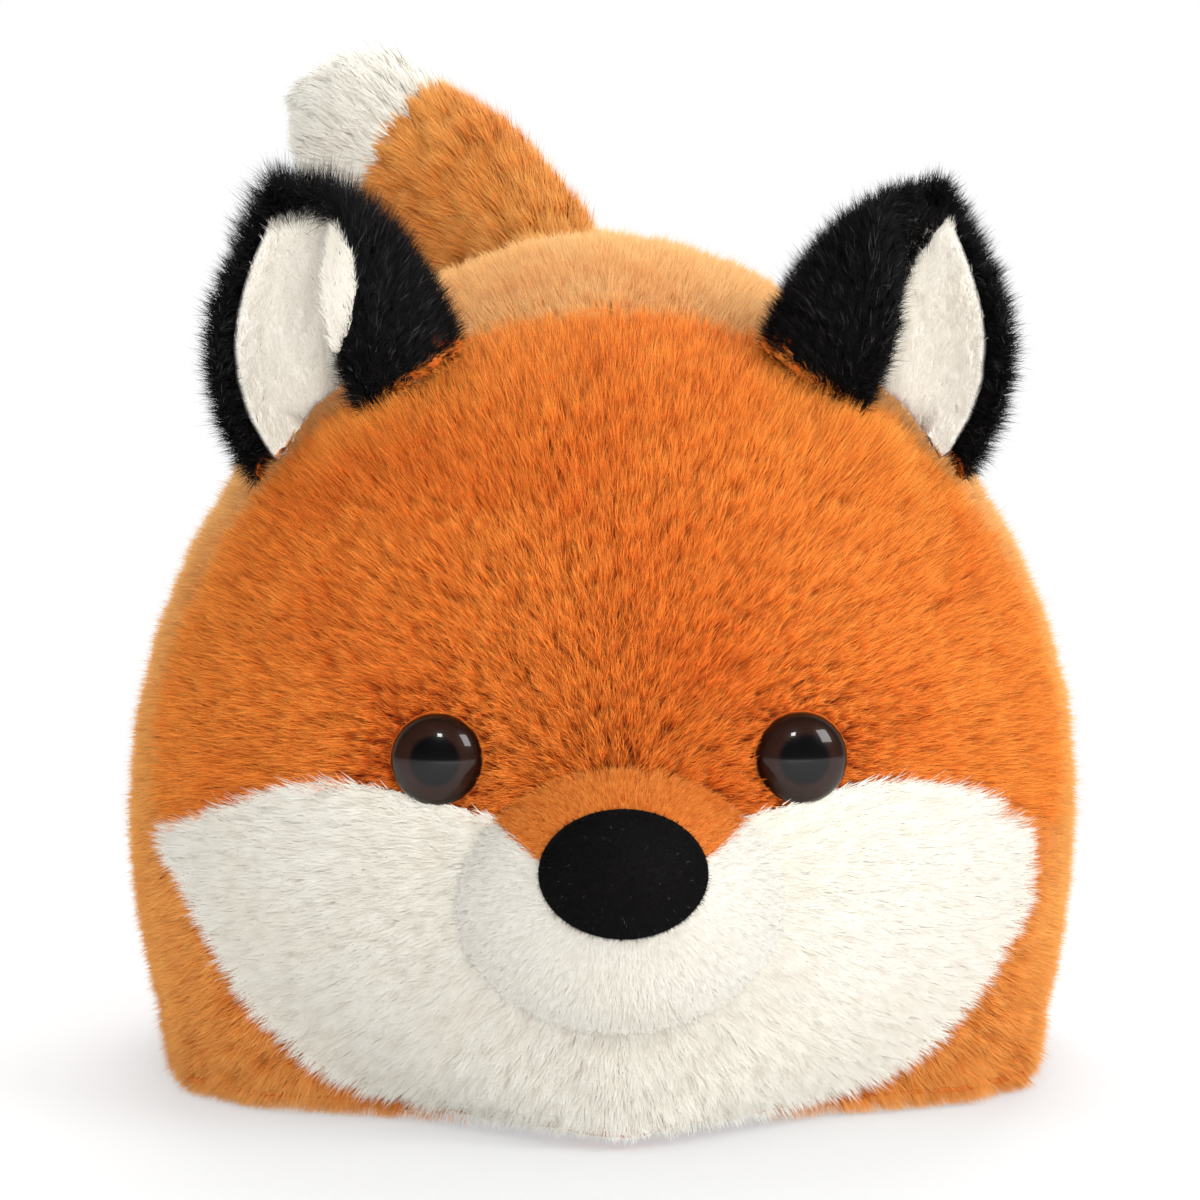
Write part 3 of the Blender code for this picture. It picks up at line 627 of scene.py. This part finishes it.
hem_crowded = 11 * millimetre
hem_crowd = 3.0
seam_crowded = 7 * millimetre
seam_crowd = 1.7
body_cover_gap = 1.2 * millimetre
body_seed = 11
solid_cover = cover_of([name for name in nodes if not name.startswith(("muzzle", "nose", "ear_"))])
# Each pile's root colour is painted shade deep in the pile, its paler tip colour partly painted light.
orange = pile_finish(
    "orange_long_pile", tint(116, 30, 3), tint(230, 104, 20), tint(253, 168, 74), tint(240, 192, 152),
    0.25, spread=(0.44, 1.28),
)
# The body takes the forehead's plush, given paler colours: painted light on its grazing sides and top.
back_orange_painted_light = pile_finish(
    "orange_back_pile_painted_light", tint(128, 48, 8), tint(230, 126, 42), tint(252, 190, 106), tint(240, 200, 160),
    0.55, painted_top_light=(tint(146, 70, 26), tint(222, 142, 72), tint(240, 200, 138)),
)
for side, word in ((-1, "left"), (1, "right")):
    sheet = Sheet(f"body_panel_{word}", solid_cover, body_cover_gap, pile_sink, walls=True)
    sheet.crowded = crowded_edges
    plush = grow_pile(
        f"body_plush_{word}", sheet, long_pile, brushed_back, body_seed + side, None, trimmed_back,
    )
    plush.data.materials.append(back_orange_painted_light)
    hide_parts(f"body_panel_{word}")
    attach(plush, "root")


# Face panels: two orange forehead panels that meet at a seam between the eyes, and two white
# cheek panels that meet under the chin. Their pile is brushed outwards from the muzzle.
eye_reach = 10.4 * millimetre
eye_overlap = 2.6 * millimetre
eye_clip = 0.5
eye_clip_fade = 7 * millimetre
muzzle_share = 0.82
crown_growth = 0.18
crown_fade = 6 * millimetre
side_growth = 0.7
chin_trim = 0.35
face_middle = (0.0, 68 * millimetre)
cheek_middle = (0.0, 52 * millimetre)
muzzle_middle = Vector((0, -0.09, 0.0505))
muzzle_half = Vector((0.0352, 0.034, 0.0295))
eye_places = []
for word in ("left", "right"):
    low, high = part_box(f"eye_dome_{word}")
    eye_places.append(np.array((low + high) / 2))


def brushed_out(middle_x, middle_z):
    """Pile brushed away from a place on the face, as seen from the front."""
    def way(places, normals):
        found = np.zeros_like(places)
        found[:, 0] = places[:, 0] - middle_x
        found[:, 2] = places[:, 2] - middle_z
        return found + normals * 1e-4
    return way


def clear_of_face(places):
    """Leaves out the fibres that would stand under the muzzle or an eye."""
    kept = np.ones(len(places))
    inside = (((places - np.array(muzzle_middle)) / np.array(muzzle_half)) ** 2).sum(axis=1) < muzzle_share
    kept[inside] = 0
    for eye in eye_places:
        near = np.linalg.norm((places - eye)[:, [0, 2]], axis=1) < eye_reach - eye_overlap
        kept[near] = 0
    return kept


def short_by_eyes(places):
    """The pile is clipped short round the eyes."""
    length = np.ones(len(places))
    for eye in eye_places:
        gap = np.linalg.norm((places - eye)[:, [0, 2]], axis=1)
        length *= 1 - eye_clip + eye_clip * np.clip((gap - eye_reach) / eye_clip_fade, 0, 1)
    return length


def trimmed_face(places):
    """Short by the eyes and under the chin, longer at the crown's seam, the hem and the ears' feet."""
    crown = 1 + crown_growth * np.clip((places[:, 1] - seam_place) / crown_fade + 1, 0, 1)
    beside = np.clip(np.abs(places[:, 0]) / chin_half_width, 0, 1)
    hem = 1 + (side_growth * beside - chin_trim) * np.clip(1 - places[:, 2] / hem_height, 0, 1)
    swell = np.ones(len(places))
    for side in (-1, 1):
        gap = np.linalg.norm(places - np.array([side, 1, 1]) * ear_foot_corner, axis=1)
        swell += ear_foot_swell * np.clip(1 - gap / ear_foot_reach, 0, 1)
    return short_by_eyes(places) * crown * hem * swell


def fallen_over(places, dice):
    """The orange fur falls over the outer corner of the right cheek and rounds it off."""
    gap = places[:, [0, 2]] - corner_middle
    ragged = corner_round
    if dice is not None:
        ragged = corner_round * dice.uniform(1 - corner_ragged, 1 + corner_ragged, len(places))
    gap[:, 1] = np.maximum(gap[:, 1], 0)
    outside = (gap[:, 0] > 0) & (np.linalg.norm(gap, axis=1) > ragged)
    return outside.astype(float), np.zeros_like(places)


corner_middle = np.array([76.5, 53.5]) * millimetre
corner_round = 8.2 * millimetre
corner_ragged = 0.12
chin_half_width = 40 * millimetre
ear_foot_corner = np.array([50.5, -71, 137]) * millimetre
ear_foot_reach = 17 * millimetre
ear_foot_swell = 1.0
face_pile = dict(long_pile)
face_pile.update(
    width=0.23 * millimetre, density=13.0, length=6.8 * millimetre, tuft=1.9 * millimetre, pull=0.55,
    lean_root=math.radians(38), lean_tip=math.radians(38), lean_spread=math.radians(12), parting=0.44,
)
cheek_sink = 2.6 * millimetre
cheek_pile = dict(face_pile)
cheek_pile.update(
    length=5.2 * millimetre, lean_root=math.radians(48), lean_tip=math.radians(48), parting=0.1,
    density=11.0, ground=0.8, tuft=3.0 * millimetre, pull=0.3, lean_spread=math.radians(9), mixture=0.12,
    softness=0.9,
)
face_cover_gap = 3 * millimetre
face_seed = 23
fallen = (tint(198, 86, 20), tint(240, 150, 66))
white = pile_finish(
    "white_long_pile", tint(236, 230, 217), tint(246, 242, 231), tint(251, 249, 240), tint(250, 248, 243),
    0.1, spread=(0.93, 1.05), climbed=fallen,
)
for side, word in ((-1, "left"), (1, "right")):
    for part, middle, pile, sink, finish, slot in (
        ("forehead", face_middle, face_pile, pile_sink, orange, "orange_pile"),
        ("cheek", cheek_middle, cheek_pile, cheek_sink, white, "white_pile"),
    ):
        sheet = Sheet(f"{part}_panel_{word}", solid_cover, face_cover_gap, sink)
        plush = grow_pile(
            f"{part}_plush_{word}", sheet, pile, brushed_out(*middle), face_seed + side + len(part),
            clear_of_face, trimmed_face, fallen_over if part == "cheek" and side > 0 else None,
        )
        plush.data.materials.append(finish)
        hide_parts(f"{part}_panel_{word}")
        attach(plush, "root")


# Belly panel: short orange plush that closes the underside and lies flat on whatever it stands on.
# It is sewn to the body and cheek panels all round, inside their hem.
belly_pile = dict(long_pile)
belly_pile.update(
    length=2.6 * millimetre, width=0.4 * millimetre, density=1.6, tuft=2.4 * millimetre, pull=0.1, steps=1,
    lean_root=math.radians(62), lean_tip=math.radians(74), ground=0.4,
)


def inside_hem(places):
    """Leaves out the fibres that would splay from under the hem."""
    hem = cover_of([name for name in nodes if name.startswith(("body_panel", "cheek_panel"))])
    found = [hem.find_nearest(Vector(place), hem_margin)[0] for place in places]
    return np.array([place is None for place in found], dtype=float)


def faces_down(centre, normal):
    return normal.z < -0.5


hem_margin = 5 * millimetre
belly_sink = 1.2 * millimetre
belly_seed = 41
sheet = Sheet("belly_panel", solid_cover, face_cover_gap, belly_sink, faces_down)
belly = grow_pile("belly_plush", sheet, belly_pile, brushed_back, belly_seed, inside_hem)
belly.data.materials.append(orange)
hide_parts("belly_panel")
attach(belly, "root")


# Stuffing, bead pouch and lock washers: loose polyester fibre fills the body, muzzle and tail, and
# a small sewn pouch of beads lies in the base. They are closed in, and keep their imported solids.
fibre = Finish("loose_fibre", Roughness=1.0, Sheen_Weight=0.3)
fibre_cloud = fibre.noise(120.0, 6.0, 0.7, 1.5)
fibre_colour = fibre.mixed(tint(214, 213, 208), tint(246, 246, 243), fibre_cloud)
fibre.feed(fibre.shader.inputs["Base Color"], fibre_colour)
cloth = Finish("pouch_cloth", Roughness=0.9)
cloth_threads = cloth.noise(900.0, 2.0, 0.6)
cloth_colour = cloth.mixed(tint(196, 190, 176), tint(222, 218, 206), cloth_threads)
cloth.feed(cloth.shader.inputs["Base Color"], cloth_colour)
nylon = Finish("washer_nylon", Roughness=0.42)
nylon_cloud = nylon.noise(260.0, 3.0, 0.5)
nylon_colour = nylon.mixed(tint(222, 221, 214), tint(234, 233, 227), nylon_cloud)
nylon.feed(nylon.shader.inputs["Base Color"], nylon_colour)
for name, finish in (
    ("body_stuffing", fibre), ("muzzle_stuffing", fibre), ("tail_stuffing", fibre), ("tail_root", fibre),
    ("bead_pouch", cloth), ("eye_washer_left", nylon), ("eye_washer_right", nylon),
):
    nodes[name].data.materials.clear()
    nodes[name].data.materials.append(finish.material)


# Eyes: a clear moulded dome, painted dark brown behind, over the black head of its post. The post
# is pushed through the fabric and held by its lock washer.
eye_radius = 9.0 * millimetre
eye_height = 5.6 * millimetre
eye_rim = 1.0 * millimetre
pupil_radius = 4.8 * millimetre
pupil_depth = 1.3 * millimetre
washer_depth = 3.4 * millimetre
eye_turns = 72
dome_steps = 20
glaze_edge = math.radians(50)
rim_low = 0.8
pupil_low = 0.50
pupil_high = 0.60

brown = Finish(
    "eye_brown_dome", Roughness=0.3, Specular_IOR_Level=0.1, Coat_Weight=0.75, Coat_Roughness=0.015,
    Coat_IOR=1.4,
)
from_axis = brown.add("ShaderNodeAttribute", {"attribute_name": "from_axis"}, {}, "Fac")
swirl = brown.noise(420.0, 4.0, 0.6, 0.6)
iris = brown.mixed(tint(26, 13, 9), tint(48, 26, 17), swirl)
# Near black towards the dome's rim: painted shade of the fur round the eye.
rimmed = brown.mixed(iris, tint(8, 6, 5), brown.ranged(from_axis, rim_low, 1.0))
pupil = brown.ranged(from_axis, pupil_low, pupil_high)
brown.feed(brown.shader.inputs["Base Color"], brown.mixed(tint(4, 4, 5), rimmed, pupil))
black = Finish("eye_black_post", Roughness=0.35)
black_cloud = black.noise(500.0, 2.0, 0.5)
black.feed(black.shader.inputs["Base Color"], black.mixed(tint(12, 12, 13), tint(20, 20, 21), black_cloud))
for word in ("left", "right"):
    low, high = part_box(f"eye_washer_{word}")
    washer = (low + high) / 2
    dome_points = np.array([vert.co for vert in nodes[f"eye_dome_{word}"].data.vertices])
    axis = (Vector(dome_points.mean(axis=0)) - washer).normalized()
    seat = washer + axis * washer_depth
    shape = bmesh.new()
    profile = [(0, eye_height)]
    for step in range(1, dome_steps + 1):
        turn = math.pi / 2 * step / dome_steps
        profile.append((eye_radius * math.sin(turn), eye_rim + (eye_height - eye_rim) * math.cos(turn)))
    profile += [(eye_radius, 0), (pupil_radius, 0), (pupil_radius, pupil_depth), (0, pupil_depth)]
    points = [shape.verts.new((radius, 0, height)) for radius, height in profile]
    edges = [shape.edges.new(pair) for pair in zip(points, points[1:])]
    bmesh.ops.spin(
        shape, geom=points + edges, axis=(0, 0, 1), cent=(0, 0, 0), angle=2 * math.pi,
        steps=eye_turns, use_merge=True,
    )
    bmesh.ops.remove_doubles(shape, verts=shape.verts, dist=weld)
    bmesh.ops.recalc_face_normals(shape, faces=shape.faces)
    shares = [math.hypot(vert.co.x, vert.co.y) / eye_radius for vert in shape.verts]
    turn = axis.to_track_quat("Z", "Y").to_matrix().to_4x4()
    bmesh.ops.transform(shape, matrix=Matrix.Translation(seat) @ turn, verts=shape.verts)
    mesh = bpy.data.meshes.new(f"eye_glaze_{word}")
    shape.to_mesh(mesh)
    shape.free()
    mesh.shade_smooth()
    mesh.set_sharp_from_angle(angle=glaze_edge)
    mesh.attributes.new("from_axis", "FLOAT", "POINT").data.foreach_set("value", shares)
    mesh.materials.append(brown.material)
    dome = bpy.data.objects.new(f"eye_glaze_{word}", mesh)
    bpy.context.scene.collection.objects.link(dome)
    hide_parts(f"eye_dome_{word}")
    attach(dome, "root")
    nodes[f"eye_post_{word}"].data.materials.clear()
    nodes[f"eye_post_{word}"].data.materials.append(black.material)


# Muzzle: a stuffed round of short-pile plush, orange over the nose and white below. Its two pieces are
# sewn together at the sides of the nose and on to the face all round.
def round_muzzle(places, normals):
    """Moves places on to the muzzle's true round."""
    half = np.array(muzzle_half)
    spread = (places - np.array(muzzle_middle)) / half
    spread = unit(spread)
    return np.array(muzzle_middle) + spread * half, unit(spread / half)


def beside_nose(places):
    """Leaves out the fibres that the nose would press flat."""
    kept = np.ones(len(places))
    wide = places[:, 0] / nose_half_width
    high = (places[:, 2] - nose_middle) / nose_half_height
    kept[wide ** 2 + high ** 2 < nose_pressed] = 0
    return kept


nose_half_width = 16.1 * millimetre
nose_half_height = 11.8 * millimetre
nose_middle = 58.2 * millimetre
nose_pressed = 0.8
muzzle_cover_gap = 4 * millimetre
muzzle_sink = 1.3 * millimetre
muzzle_seed = 61
muzzle_cover = cover_of([name for name in nodes if not name.startswith(("nose", "ear_"))])
short_pile = dict(long_pile)
short_pile.update(
    length=2.4 * millimetre, width=0.15 * millimetre, density=11.0, tuft=1.6 * millimetre, pull=0.2,
    lean_root=math.radians(52), lean_tip=math.radians(52), lean_spread=math.radians(10), tuft_swing=0.4,
    tuft_uneven=0.1, parting=0.08, softness=0.9, ground=0.8, mixture=0.1,
)
orange_short = pile_finish(
    "orange_short_pile", tint(196, 88, 22), tint(230, 130, 46), tint(247, 172, 88), tint(235, 200, 170),
    0.15, spread=(0.85, 1.1),
)
white_short = pile_finish(
    "white_short_pile", tint(224, 219, 208), tint(243, 240, 231), tint(251, 250, 245), tint(250, 248, 243),
    0.1, spread=(0.93, 1.05),
)
for name, plush_name, finish, slot in (
    ("muzzle_top", "muzzle_plush_top", orange_short, "orange_short_pile"),
    ("muzzle_lower", "muzzle_plush_lower", white_short, "white_short_pile"),
):
    sheet = Sheet(name, muzzle_cover, muzzle_cover_gap, muzzle_sink, rounded=round_muzzle)
    plush = grow_pile(
        plush_name, sheet, short_pile, brushed_out(0.0, nose_middle), muzzle_seed + len(name), beside_nose,
    )
    plush.data.materials.append(finish)
    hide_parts(name)
    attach(plush, "root")


# Nose: an oval of black velour drawn over a thin pad. Its edge is turned in, and it is sewn to the front
# of the muzzle, over the seam between its orange and white pieces.
nose_thickness = 4.8 * millimetre
nose_stand = 0.6 * millimetre
nose_fullness = 0.75
nose_sink = 0.5 * millimetre
nose_back = 0.3
nose_parting = 4 * millimetre
nose_turns = 72
nose_rings = 36
nose_seed = 71
shape = bmesh.new()
bmesh.ops.create_uvsphere(
    shape, u_segments=nose_turns, v_segments=nose_rings, radius=1.0,
    matrix=Matrix.Rotation(math.pi / 2, 4, "X"),
)
for vert in shape.verts:
    x = nose_half_width * vert.co.x
    z = nose_middle + nose_half_height * vert.co.z
    wide = x / (muzzle_half.x + nose_stand)
    high = (z - muzzle_middle.z) / (muzzle_half.z + nose_stand)
    round_front = (muzzle_half.y + nose_stand) * math.sqrt(max(0.0, 1 - wide ** 2 - high ** 2))
    forward = nose_thickness * max(-vert.co.y, 0.0) ** nose_fullness
    vert.co = (x, muzzle_middle.y - round_front - forward, z)
bmesh.ops.recalc_face_normals(shape, faces=shape.faces)
nose_mesh = bpy.data.meshes.new("nose_form")
shape.to_mesh(nose_mesh)
shape.free()


class FormSheet(Sheet):
    """Faces of a form modelled here that carry pile."""

    def __init__(self, mesh, sink, facing):
        shape = bmesh.new()
        shape.from_mesh(mesh)
        bmesh.ops.triangulate(shape, faces=shape.faces)
        shape.faces.ensure_lookup_table()
        chosen = [face for face in shape.faces if facing(face.calc_center_median(), face.normal)]
        self.rounded = None
        self.bare = np.zeros(len(shape.verts), bool)
        self.normals = np.array([vert.normal for vert in shape.verts])
        self.points = np.array([vert.co for vert in shape.verts])
        self.triangles = np.array([[vert.index for vert in face.verts] for face in chosen])
        self.solid = np.array([[vert.index for vert in face.verts] for face in shape.faces])
        self.backing = self.points - self.normals * sink
        self.sink = sink
        shape.free()


velour_pile = dict(short_pile)
velour_pile.update(
    length=1.0 * millimetre, width=0.13 * millimetre, density=30.0, tuft=0.9 * millimetre, pull=0.05,
    lean_root=math.radians(20), lean_tip=math.radians(35),
)
velour = pile_finish(
    "nose_velour", tint(4, 4, 4), tint(10, 9, 10), tint(26, 24, 25), tint(200, 196, 196), 0.03, 0.9,
    lint=0.5,
)
sheet = FormSheet(nose_mesh, nose_sink, lambda centre, normal: normal.y < nose_back)
nose = grow_pile("nose_velour", sheet, velour_pile, brushed_out(0.0, nose_middle + nose_parting), nose_seed)
nose.data.materials.append(velour)
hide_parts("nose")
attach(nose, "root")


# Ears: black plush outside and short white plush inside, sewn back to back. Each is curled so that
# its inner edge rolls round to the front, and is sewn on along its base.
ear_lean = math.radians(17)
ear_root_height = 142.1 * millimetre
ear_spacing = 106 * millimetre
ear_place = -56 * millimetre
black_pile = dict(long_pile)
black_pile.update(
    length=4.6 * millimetre, width=0.16 * millimetre, density=12.0, tuft=2.0 * millimetre, pull=0.45,
    lean_root=math.radians(20), lean_tip=math.radians(20), lean_spread=math.radians(15), uneven=0.22,
    roll=1.2, parting=0.25,
)
lining_pile = dict(short_pile)
lining_pile.update(
    length=2.8 * millimetre, width=0.15 * millimetre, density=8.0,
    lean_root=math.radians(54), lean_tip=math.radians(54), lean_spread=math.radians(10), ground=0.9,
)
foot_rise = 3.2 * millimetre
foot_least = 1.8 * millimetre
foot_back = -53 * millimetre
foot_front = -70 * millimetre
foot_ragged = (0.65, 1.25)


def fur_climbing(head, rise):
    """The head's fur climbs the foot of an ear, highest at its front end."""
    def climbing(places, dice):
        shares = np.zeros(len(places))
        facing = np.zeros_like(places)
        luck = np.ones(len(places)) if dice is None else dice.uniform(*foot_ragged, len(places))
        for spot, place in enumerate(places):
            ahead = min(max((place[1] - foot_back) / (foot_front - foot_back), 0.0), 1.0)
            reach = (foot_least + (rise - foot_least) * ahead) * luck[spot]
            found, normal, _, gap = head.find_nearest(Vector(place), reach)
            if found is not None:
                shares[spot] = 1
                facing[spot] = normal
        return shares, facing
    return climbing


tuck_height = 17 * millimetre
tuck_depth = 16 * millimetre
tuck = 15 * millimetre
tuck_start = 2 * millimetre


def tucked(head):
    """The rolled front of an ear's foot is sewn down into the head's fur."""
    def moved(points):
        points = points.copy()
        for point in points:
            gap = head.find_nearest(Vector(point))[3]
            low = min(max(1 - (gap - tuck_start) / tuck_height, 0.0), 1.0)
            ahead = min(max((ear_place - point[1]) / tuck_depth, 0.0), 1.0)
            point[1] += tuck * ahead * low * low * (3 - 2 * low)
        return points
    return moved


ear_black = pile_finish(
    "black_pile", tint(4, 4, 4), tint(11, 10, 11), tint(36, 34, 35), tint(210, 205, 205), 0.03, 0.7,
    lint=0.25, climbed=(tint(214, 98, 22), tint(250, 158, 66)),
)
ear_white = pile_finish(
    "lining_pile", tint(232, 225, 211), tint(246, 241, 230), tint(251, 248, 240), tint(251, 248, 242),
    0.1, spread=(0.94, 1.05), climbed=(tint(214, 98, 22), tint(250, 158, 66)),
)
turned_line = np.array([
    (149, -58.5), (155, -55.5), (160.5, -52.9), (168.5, -51.4), (174.4, -52.0), (178.4, -54.0),
    (184, -58.5),
]) * millimetre
turned_front = -60 * millimetre
rolled_line = np.array([(161, 56.0), (168, 59.5), (173.8, 62.0), (180.9, 66.8), (184, 71.0)]) * millimetre


def turned_over(places):
    """The left ear's lining turns over the upper part of its rolled edge."""
    edge = np.interp(places[:, 2], turned_line[:, 0], turned_line[:, 1], left=-1, right=-1)
    return ((places[:, 0] < edge) & (places[:, 1] < turned_front)).astype(float)


def rolled_over(places):
    """The right ear's black edge rolls further over the top of its lining."""
    edge = np.interp(places[:, 2], rolled_line[:, 0], rolled_line[:, 1], left=-1, right=1)
    return (places[:, 0] < edge).astype(float)


def fuller_top(places):
    """The left ear's pile stands longer over its top."""
    return 1 + full_growth * np.clip((places[:, 2] - full_from) / full_rise, 0, 1)


full_growth = 0.6
full_from = 174 * millimetre
full_rise = 10 * millimetre
ear_fan = 0.5
ear_cover_gap = 1.2 * millimetre
ear_sink = 2.0 * millimetre
lining_sink = 0.5 * millimetre
ear_seed = 81
lining_seed = 91
for side, word in ((-1, "left"), (1, "right")):
    ear_up = np.array([side * math.sin(ear_lean), 0, math.cos(ear_lean)])
    ear_root = Vector((side * ear_spacing / 2, ear_place, ear_root_height))

    def from_line(centre):
        """The way from the ear's middle line to a place."""
        spot = np.array(centre) - np.array(ear_root)
        return spot - ear_up * (spot @ ear_up)

    def upwards(places, normals):
        return np.tile(ear_up, (len(places), 1)) + unit(places - np.array(ear_root)) * ear_fan

    head_names = [f"forehead_panel_{word}", f"body_panel_{word}"]
    head = cover_of(head_names)
    ear_cover = cover_of([f"ear_lining_{word}"] + head_names)
    lining_cover = cover_of([f"ear_outer_{word}"] + head_names)
    outer_sheet = Sheet(f"ear_outer_{word}", ear_cover, ear_cover_gap, ear_sink, moved=tucked(head))
    lining_sheet = Sheet(
        f"ear_lining_{word}", lining_cover, ear_cover_gap, lining_sink,
        lambda centre, normal: from_line(centre) @ np.array(normal) < 0, moved=tucked(head),
    )
    patched = turned_over if word == "left" else rolled_over
    giver, taker = (outer_sheet, lining_sheet) if word == "left" else (lining_sheet, outer_sheet)
    taker.patch = (giver, patched)

    def left_clear(places):
        """Leaves out the fibres where the other sheet's patch grows."""
        return 1 - patched(places)

    for sheet, plush_name, pile, rise, finish, slot, node, seed in (
        (
            outer_sheet, f"ear_plush_{word}", black_pile, foot_rise, ear_black, "black_pile",
            f"ear_outer_{word}", ear_seed,
        ),
        (
            lining_sheet, f"ear_inside_{word}", lining_pile, foot_least, ear_white, "lining_pile",
            f"ear_lining_{word}", lining_seed,
        ),
    ):
        plush = grow_pile(
            plush_name, sheet, pile, upwards, seed + side, left_clear if sheet is giver else None,
            fuller_top if sheet is outer_sheet and word == "left" else None, fur_climbing(head, rise),
        )
        plush.data.materials.append(finish)
        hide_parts(node)
        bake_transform(plush)


# Tail: a stuffed sleeve of long orange plush with a white end, brushed towards the end. It is sewn on at
# its root, where the pile falls both ways over the seam.
tail_length = 115 * millimetre
tail_root = np.array([-0.000142, 0.097061, 0.150693])
tail_path = tail_root + tail_length * np.array([
    (0.00, 0.00, 0.00), (-0.07, 0.14, 0.12), (-0.25, 0.27, 0.32), (-0.42, 0.34, 0.44), (-0.61, 0.39, 0.54),
])
tail_pile = dict(long_pile)
tail_pile.update(
    length=9.8 * millimetre, width=0.22 * millimetre, density=7.0, tuft=4.5 * millimetre, pull=0.45,
    steps=2, lean_root=math.radians(42), lean_tip=math.radians(74), lean_spread=math.radians(8),
    swing=0.22, ground=0.4,
)
tail_orange = pile_finish(
    "tail_orange_pile", tint(186, 92, 26), tint(232, 142, 56), tint(250, 192, 108), tint(240, 206, 176),
    0.25,
)
tail_end_length = 35 * millimetre
tail_end_trim = 0.38
tail_joint_trim = 0.4
tail_joint_reach = 7 * millimetre
path_least = 4 * millimetre
path_power = 3
turned_reach = 27 * millimetre
turned_fade = 10 * millimetre
droop_reach = 22 * millimetre
droop = np.array([0, 0.5, -1.5])
foot_crowd = 2.5
body_slope = np.array([0, 0.65, 0.76])
foot_depth = 9 * millimetre
turned_depth = 4.5 * millimetre
turned_share = 0.6
turned_grain = 0.1 * millimetre
turned_salt = 5
turned_height = 2.5 * millimetre
turned_length = 11 * millimetre


def above_body(places):
    """How far places stand out from the body at the tail's root."""
    return (places - tail_root) @ body_slope


def out_of_body(places):
    """Leaves out the fibres that would grow inside the body."""
    return (above_body(places) > -foot_depth).astype(float)


def turned_down(places):
    """Which fibres at the tail's foot fall back over the seam."""
    near_root = np.clip((turned_reach - np.linalg.norm(places - tail_root, axis=1)) / turned_fade, 0, 1)
    luck = hashed(np.floor(places / turned_grain).astype(np.int64), turned_salt)
    return (luck < turned_share * near_root) & (above_body(places) > turned_height)


def along_tail(places, normals):
    """The tail's own heading beside each place."""
    middles = (tail_path[1:] + tail_path[:-1]) / 2
    headings = unit(tail_path[1:] - tail_path[:-1])
    gaps = np.linalg.norm(places[:, None] - middles[None], axis=2)
    weights = 1 / (gaps + path_least) ** path_power
    ways = unit((weights[:, :, None] * headings[None]).sum(axis=1) / weights.sum(axis=1)[:, None])
    ways[turned_down(places)] *= -1
    near_end = np.clip(1 - np.linalg.norm(places - tail_path[-1], axis=1) / droop_reach, 0, 1)
    return ways + near_end[:, None] * droop


def crowded_foot(places):
    """The pile stands closer at the tail's foot, where it falls both ways."""
    return np.where(np.linalg.norm(places - tail_root, axis=1) < turned_reach, foot_crowd, 1.0)


def shorter_at_end(places):
    """Shorter towards the tail's end, and where the orange sleeve meets the white end."""
    gap = np.linalg.norm(places - tail_path[-1], axis=1)
    rounded = 1 - tail_end_trim * (1 - np.clip(gap / tail_end_length, 0, 1))
    down = turned_down(places)
    rounded[down] *= np.clip((above_body(places[down]) + turned_depth) / turned_length, 0, 1)
    joint = np.clip(1 - np.abs(gap - tail_end_length) / tail_joint_reach, 0, 1)
    return rounded * (1 - tail_joint_trim * joint)


tail_cover_gap = 2 * millimetre
tail_sink = 4.4 * millimetre
tail_end_sink = 3.4 * millimetre
tail_seed = 101
tail_cover = cover_of([name for name in nodes if name.startswith("tail_")])
tail_end_pile = dict(tail_pile)
tail_end_pile.update(softness=0.9, ground=0.8, tuft=3.4 * millimetre, pull=0.35, parting=0.16)
for name, plush_name, pile, sink, finish, slot in (
    ("tail_sleeve", "tail_plush", tail_pile, tail_sink, tail_orange, "orange_pile"),
    ("tail_tip", "tail_end_plush", tail_end_pile, tail_end_sink, white, "white_pile"),
):
    sheet = Sheet(name, tail_cover, tail_cover_gap, sink)
    sheet.crowded = crowded_foot
    plush = grow_pile(
        plush_name, sheet, pile, along_tail, tail_seed + len(name), out_of_body, shorter_at_end,
    )
    plush.data.materials.append(finish)
    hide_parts(name)
    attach(plush, "tail")
